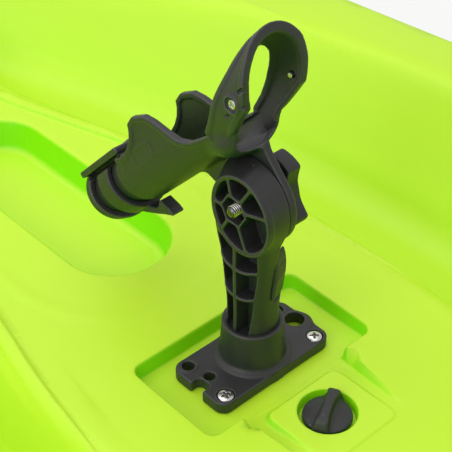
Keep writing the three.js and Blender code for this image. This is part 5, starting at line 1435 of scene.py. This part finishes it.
class KAYAK_OT_seat(bpy.types.Operator):
    """Builds the seat: padded cushion and backrest pad with sewn channels, shell and brackets"""
    bl_idname = "kayak.seat"
    bl_label = "Seat"

    def execute(self, context):
        s = sizes(context.scene.kayak_seat)
        cushion = copy_of("seat_cushion", "cushion_cover", "hull_body", "cloth")
        self.inflate(cushion, "seat_cushion")
        self.sew(cushion, s, Vector((0, 0, 1)), CUSHION_SEAMS)
        pad = copy_of("seat_back_pad", "back_cover", "backrest", "cloth")
        self.inflate(pad, "seat_back_pad")
        self.sew(pad, s, Vector((0.97, 0, 0.22)), PAD_SEAMS)
        remeshed(copy_of("seat_back", "backrest_shell", "backrest", "black"), 2.2)
        for name in ("port", "starboard"):
            bevel(copy_of(f"seat_bracket_{name}", f"hinge_bracket_{name}", "hull_body", "black"), 1.2)
        self.piping(cushion, "cushion_piping", "hull_body", s, 2)
        self.piping(pad, "back_piping", "backrest", s, 0)
        return {"FINISHED"}

    def inflate(self, made, node):
        """Fills the cover by cloth pressure, keeping it near its solid."""
        remeshed(made, 5.5)
        rest = rows_of(made.data)
        moved = rest.copy()
        cloth = made.modifiers.new("Filling", "CLOTH")
        cloth.settings.quality = 6
        cloth.settings.mass = 0.25
        cloth.settings.tension_stiffness = cloth.settings.compression_stiffness = 25
        cloth.settings.use_pressure = True
        cloth.settings.uniform_pressure_force = PRESSURE
        cloth.settings.effector_weights.gravity = 0
        cloth.point_cache.frame_start, cloth.point_cache.frame_end = 1, FRAMES
        for frame_number in range(1, FRAMES + 1):
            bpy.context.scene.frame_set(frame_number)
        moved = rows_of(made.evaluated_get(bpy.context.evaluated_depsgraph_get()).data)
        made.modifiers.clear()
        bpy.context.scene.frame_set(1)
        step = np.nan_to_num(moved - rest)
        far = np.maximum(np.linalg.norm(step, axis=1, keepdims=True), 1e-9)
        moved = rest + step * np.minimum(1, FILL_REACH / far)
        low, high = [np.array(corner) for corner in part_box(node)]
        moved[:, 2] = np.clip(moved[:, 2], low[2], high[2] + FILL_RISE)
        moved[:, 1] = np.clip(moved[:, 1], low[1], high[1])
        made.data.vertices.foreach_set("co", moved.astype(np.float32).ravel())
        finer = made.modifiers.new("Finer", "SUBSURF")
        finer.levels = finer.render_levels = 1
        apply_modifiers(made)
        made.data.shade_smooth()

    def sew(self, made, s, outward, seams):
        """Presses sewn channels into the side of a cover that faces outwards."""
        mesh, outward = made.data, np.array(outward)
        points = rows_of(mesh)
        facing = ease(rows_of(mesh, "normal") @ outward, 0.3, 0.8)
        depth = np.zeros(len(points))
        for axis, place in seams:
            along = points[:, "xyz".index(axis)]
            off = np.abs(np.abs(along) - place) if axis == "y" else along - place
            depth = np.maximum(depth, np.exp(-(off / SEAM_WIDTH) ** 2))
        points -= outward * (facing * depth * s["channel_depth"] * MM)[:, None]
        mesh.vertices.foreach_set("co", points.astype(np.float32).ravel())
        mesh.update()

    def piping(self, made, name, body, s, axis):
        """Sewn edge that follows the widest line of a cover, seen along an axis."""
        points = rows_of(made.data)
        u, v = [points[:, k] - points.mean(0)[k] for k in range(3) if k != axis]
        angle, radius = np.arctan2(v, u), np.hypot(v, u)
        curve = bpy.data.curves.new(name, "CURVE")
        curve.dimensions = "3D"
        curve.bevel_depth, curve.bevel_resolution = s["piping"] * MM, 3
        count = 96
        line = curve.splines.new("NURBS")
        line.points.add(count - 1)
        for i in range(count):
            a = -math.pi + 2 * math.pi * (i + 0.5) / count
            near = np.abs((angle - a + math.pi) % (2 * math.pi) - math.pi) < 0.05
            pool = points[near]
            best = pool[np.argsort(radius[near])[-6:]].mean(0)
            line.points[i].co = (*best, 1)
        line.use_cyclic_u = True
        line.order_u = 4
        shown = put(name, curve)
        bpy.context.view_layer.update()
        tube = bpy.data.meshes.new_from_object(shown.evaluated_get(bpy.context.evaluated_depsgraph_get()))
        bpy.data.objects.remove(shown)
        tube.name = name
        tube.materials.clear()
        piece(name, tube, body, "thread")


class KAYAK_OT_rest(bpy.types.Operator):
    """Gives the solids that stay in view their finishes"""
    bl_idname = "kayak.rest"
    bl_label = "Carried-over solids"

    def execute(self, context):
        for sub in frame["record"]["subparts"]:
            materials = frame["nodes"][sub["node"]].data.materials
            materials.clear()
            materials.append(finish(LOOKS[sub["material_slot"]]))
        return {"FINISHED"}


# The photograph's camera: focal length and picture width in pixels, place and directions in metres.
FOCAL_PIXELS, PICTURE_PIXELS, SENSOR = 1257, 452, 36
EYE, AHEAD, RIGHT = (-0.0992, 0.4681, 0.886), (0.577, -0.532, -0.620), (-0.678, -0.735, 0)
# Where the lamps look, and each lamp's place, size in metres and power in watts.
LIT_PLACE = (0.38, 0, 0.25)
LAMPS = {"top": ((1.2, 0.1, 2.6), 2.5, 24), "side": ((0.2, 2.3, 1.5), 1.6, 20)}
# The surroundings' strength, what the camera sees on top of it, and the floor's own glow.
SKY, SKY_SEEN, FLOOR_GLOW = 0.71, 0.29, 0.6


class KAYAK_OT_stage(bpy.types.Operator):
    """Sets up the floor, the light and the camera"""
    bl_idname = "kayak.stage"
    bl_label = "Stage"

    def execute(self, context):
        scene = context.scene
        bm = bmesh.new()
        bmesh.ops.create_grid(bm, x_segments=8, y_segments=8, size=12)
        mesh = bpy.data.meshes.new("studio_floor")
        bm.to_mesh(mesh)
        bm.free()
        f = Finish("studio_floor", Roughness=0.9)
        shade = scene.kayak_finishes.floor
        f.feed(Base_Color=f.blend(tone(shade, 0.99), tone(shade, 1.0), f.noise(3.0, 2.0)))
        glow = f.node("Emission", {}, {"Color": (1, 1, 1, 1), "Strength": 1.0})
        plain = Wire(f, f.shader.outputs[0])
        mixed = f.node("MixShader", {}, {0: self.direct(f) * FLOOR_GLOW, 1: plain, 2: glow})
        f.tree.links.new(mixed.socket, f.out.inputs["Surface"])
        mesh.materials.append(f.material)
        floor = put("studio_floor", mesh)
        floor.location.z = -0.0005
        self.world(scene)
        for name, (place, size, power) in LAMPS.items():
            self.light(name, place, size, power)
        scene.view_settings.view_transform = "Standard"
        scene.camera = self.camera()
        return {"FINISHED"}

    @staticmethod
    def camera():
        data = bpy.data.cameras.new("camera")
        data.sensor_width, data.lens = SENSOR, FOCAL_PIXELS / PICTURE_PIXELS * SENSOR
        data.clip_start, data.clip_end = 0.02, 60
        ahead, right = Vector(AHEAD).normalized(), Vector(RIGHT).normalized()
        right = (right - ahead * right.dot(ahead)).normalized()
        turn = Matrix((right, right.cross(ahead), -ahead)).transposed().to_4x4()
        eye = put("camera", data)
        eye.matrix_world = Matrix.Translation(EYE) @ turn
        return eye

    @staticmethod
    def direct(f):
        """One where the camera, a mirror or clear glass looks, else zero."""
        path = [f.node("LightPath", out=f"Is {kind} Ray") for kind in ("Camera", "Glossy", "Transmission")]
        return f.calc("MINIMUM", path[0] + path[1] + path[2], 1.0)

    def world(self, scene):
        world = scene.world = bpy.data.worlds.new("studio")
        world.use_nodes = True
        f = Finish.__new__(Finish)
        f.tree = world.node_tree
        back = f.tree.nodes["Background"]
        back.inputs["Color"].default_value = (1, 1, 1, 1)
        strength = SKY + SKY_SEEN * f.node("LightPath", out="Is Camera Ray")
        f.tree.links.new(strength.socket, back.inputs["Strength"])

    @staticmethod
    def light(name, place, size, power):
        lamp = bpy.data.lights.new(name, "AREA")
        lamp.size, lamp.energy = size, power
        made = put(name, lamp)
        made.location = place
        made.rotation_euler = (Vector(LIT_PLACE) - Vector(place)).to_track_quat("-Z", "Y").to_euler()


class KAYAK_PT_panel(bpy.types.Panel):
    """Lists the kayak's pieces"""
    bl_idname = "KAYAK_PT_panel"
    bl_label = "Fishing kayak"
    bl_space_type = "VIEW_3D"
    bl_region_type = "UI"
    bl_category = "Kayak"

    def draw(self, context):
        for step in STEPS:
            self.layout.operator(step.bl_idname)
        for name in GROUPS:
            group = getattr(context.scene, name)
            box = self.layout.box()
            for prop in group.__annotations__:
                box.prop(group, prop)


STEPS = (KAYAK_OT_rest, KAYAK_OT_hull, KAYAK_OT_holder_base, KAYAK_OT_post, KAYAK_OT_cradle, KAYAK_OT_knob,
         KAYAK_OT_drain, KAYAK_OT_hatch, KAYAK_OT_rod_tubes, KAYAK_OT_handles, KAYAK_OT_seat, KAYAK_OT_stage)
GROUPS = {"kayak_hull": HullSizes, "kayak_holder": HolderSizes, "kayak_seat": SeatSizes,
          "kayak_finishes": Finishes}


def register():
    for cls in (*GROUPS.values(), *STEPS, KAYAK_PT_panel):
        bpy.utils.register_class(cls)
    for name, group in GROUPS.items():
        setattr(bpy.types.Scene, name, PointerProperty(type=group))


def unregister():
    for name in GROUPS:
        delattr(bpy.types.Scene, name)
    for cls in reversed((*GROUPS.values(), *STEPS, KAYAK_PT_panel)):
        bpy.utils.unregister_class(cls)


def main():
    register()
    for step in STEPS:
        space, name = step.bl_idname.split(".")
        getattr(getattr(bpy.ops, space), name)()


if __name__ == "__main__":
    main()
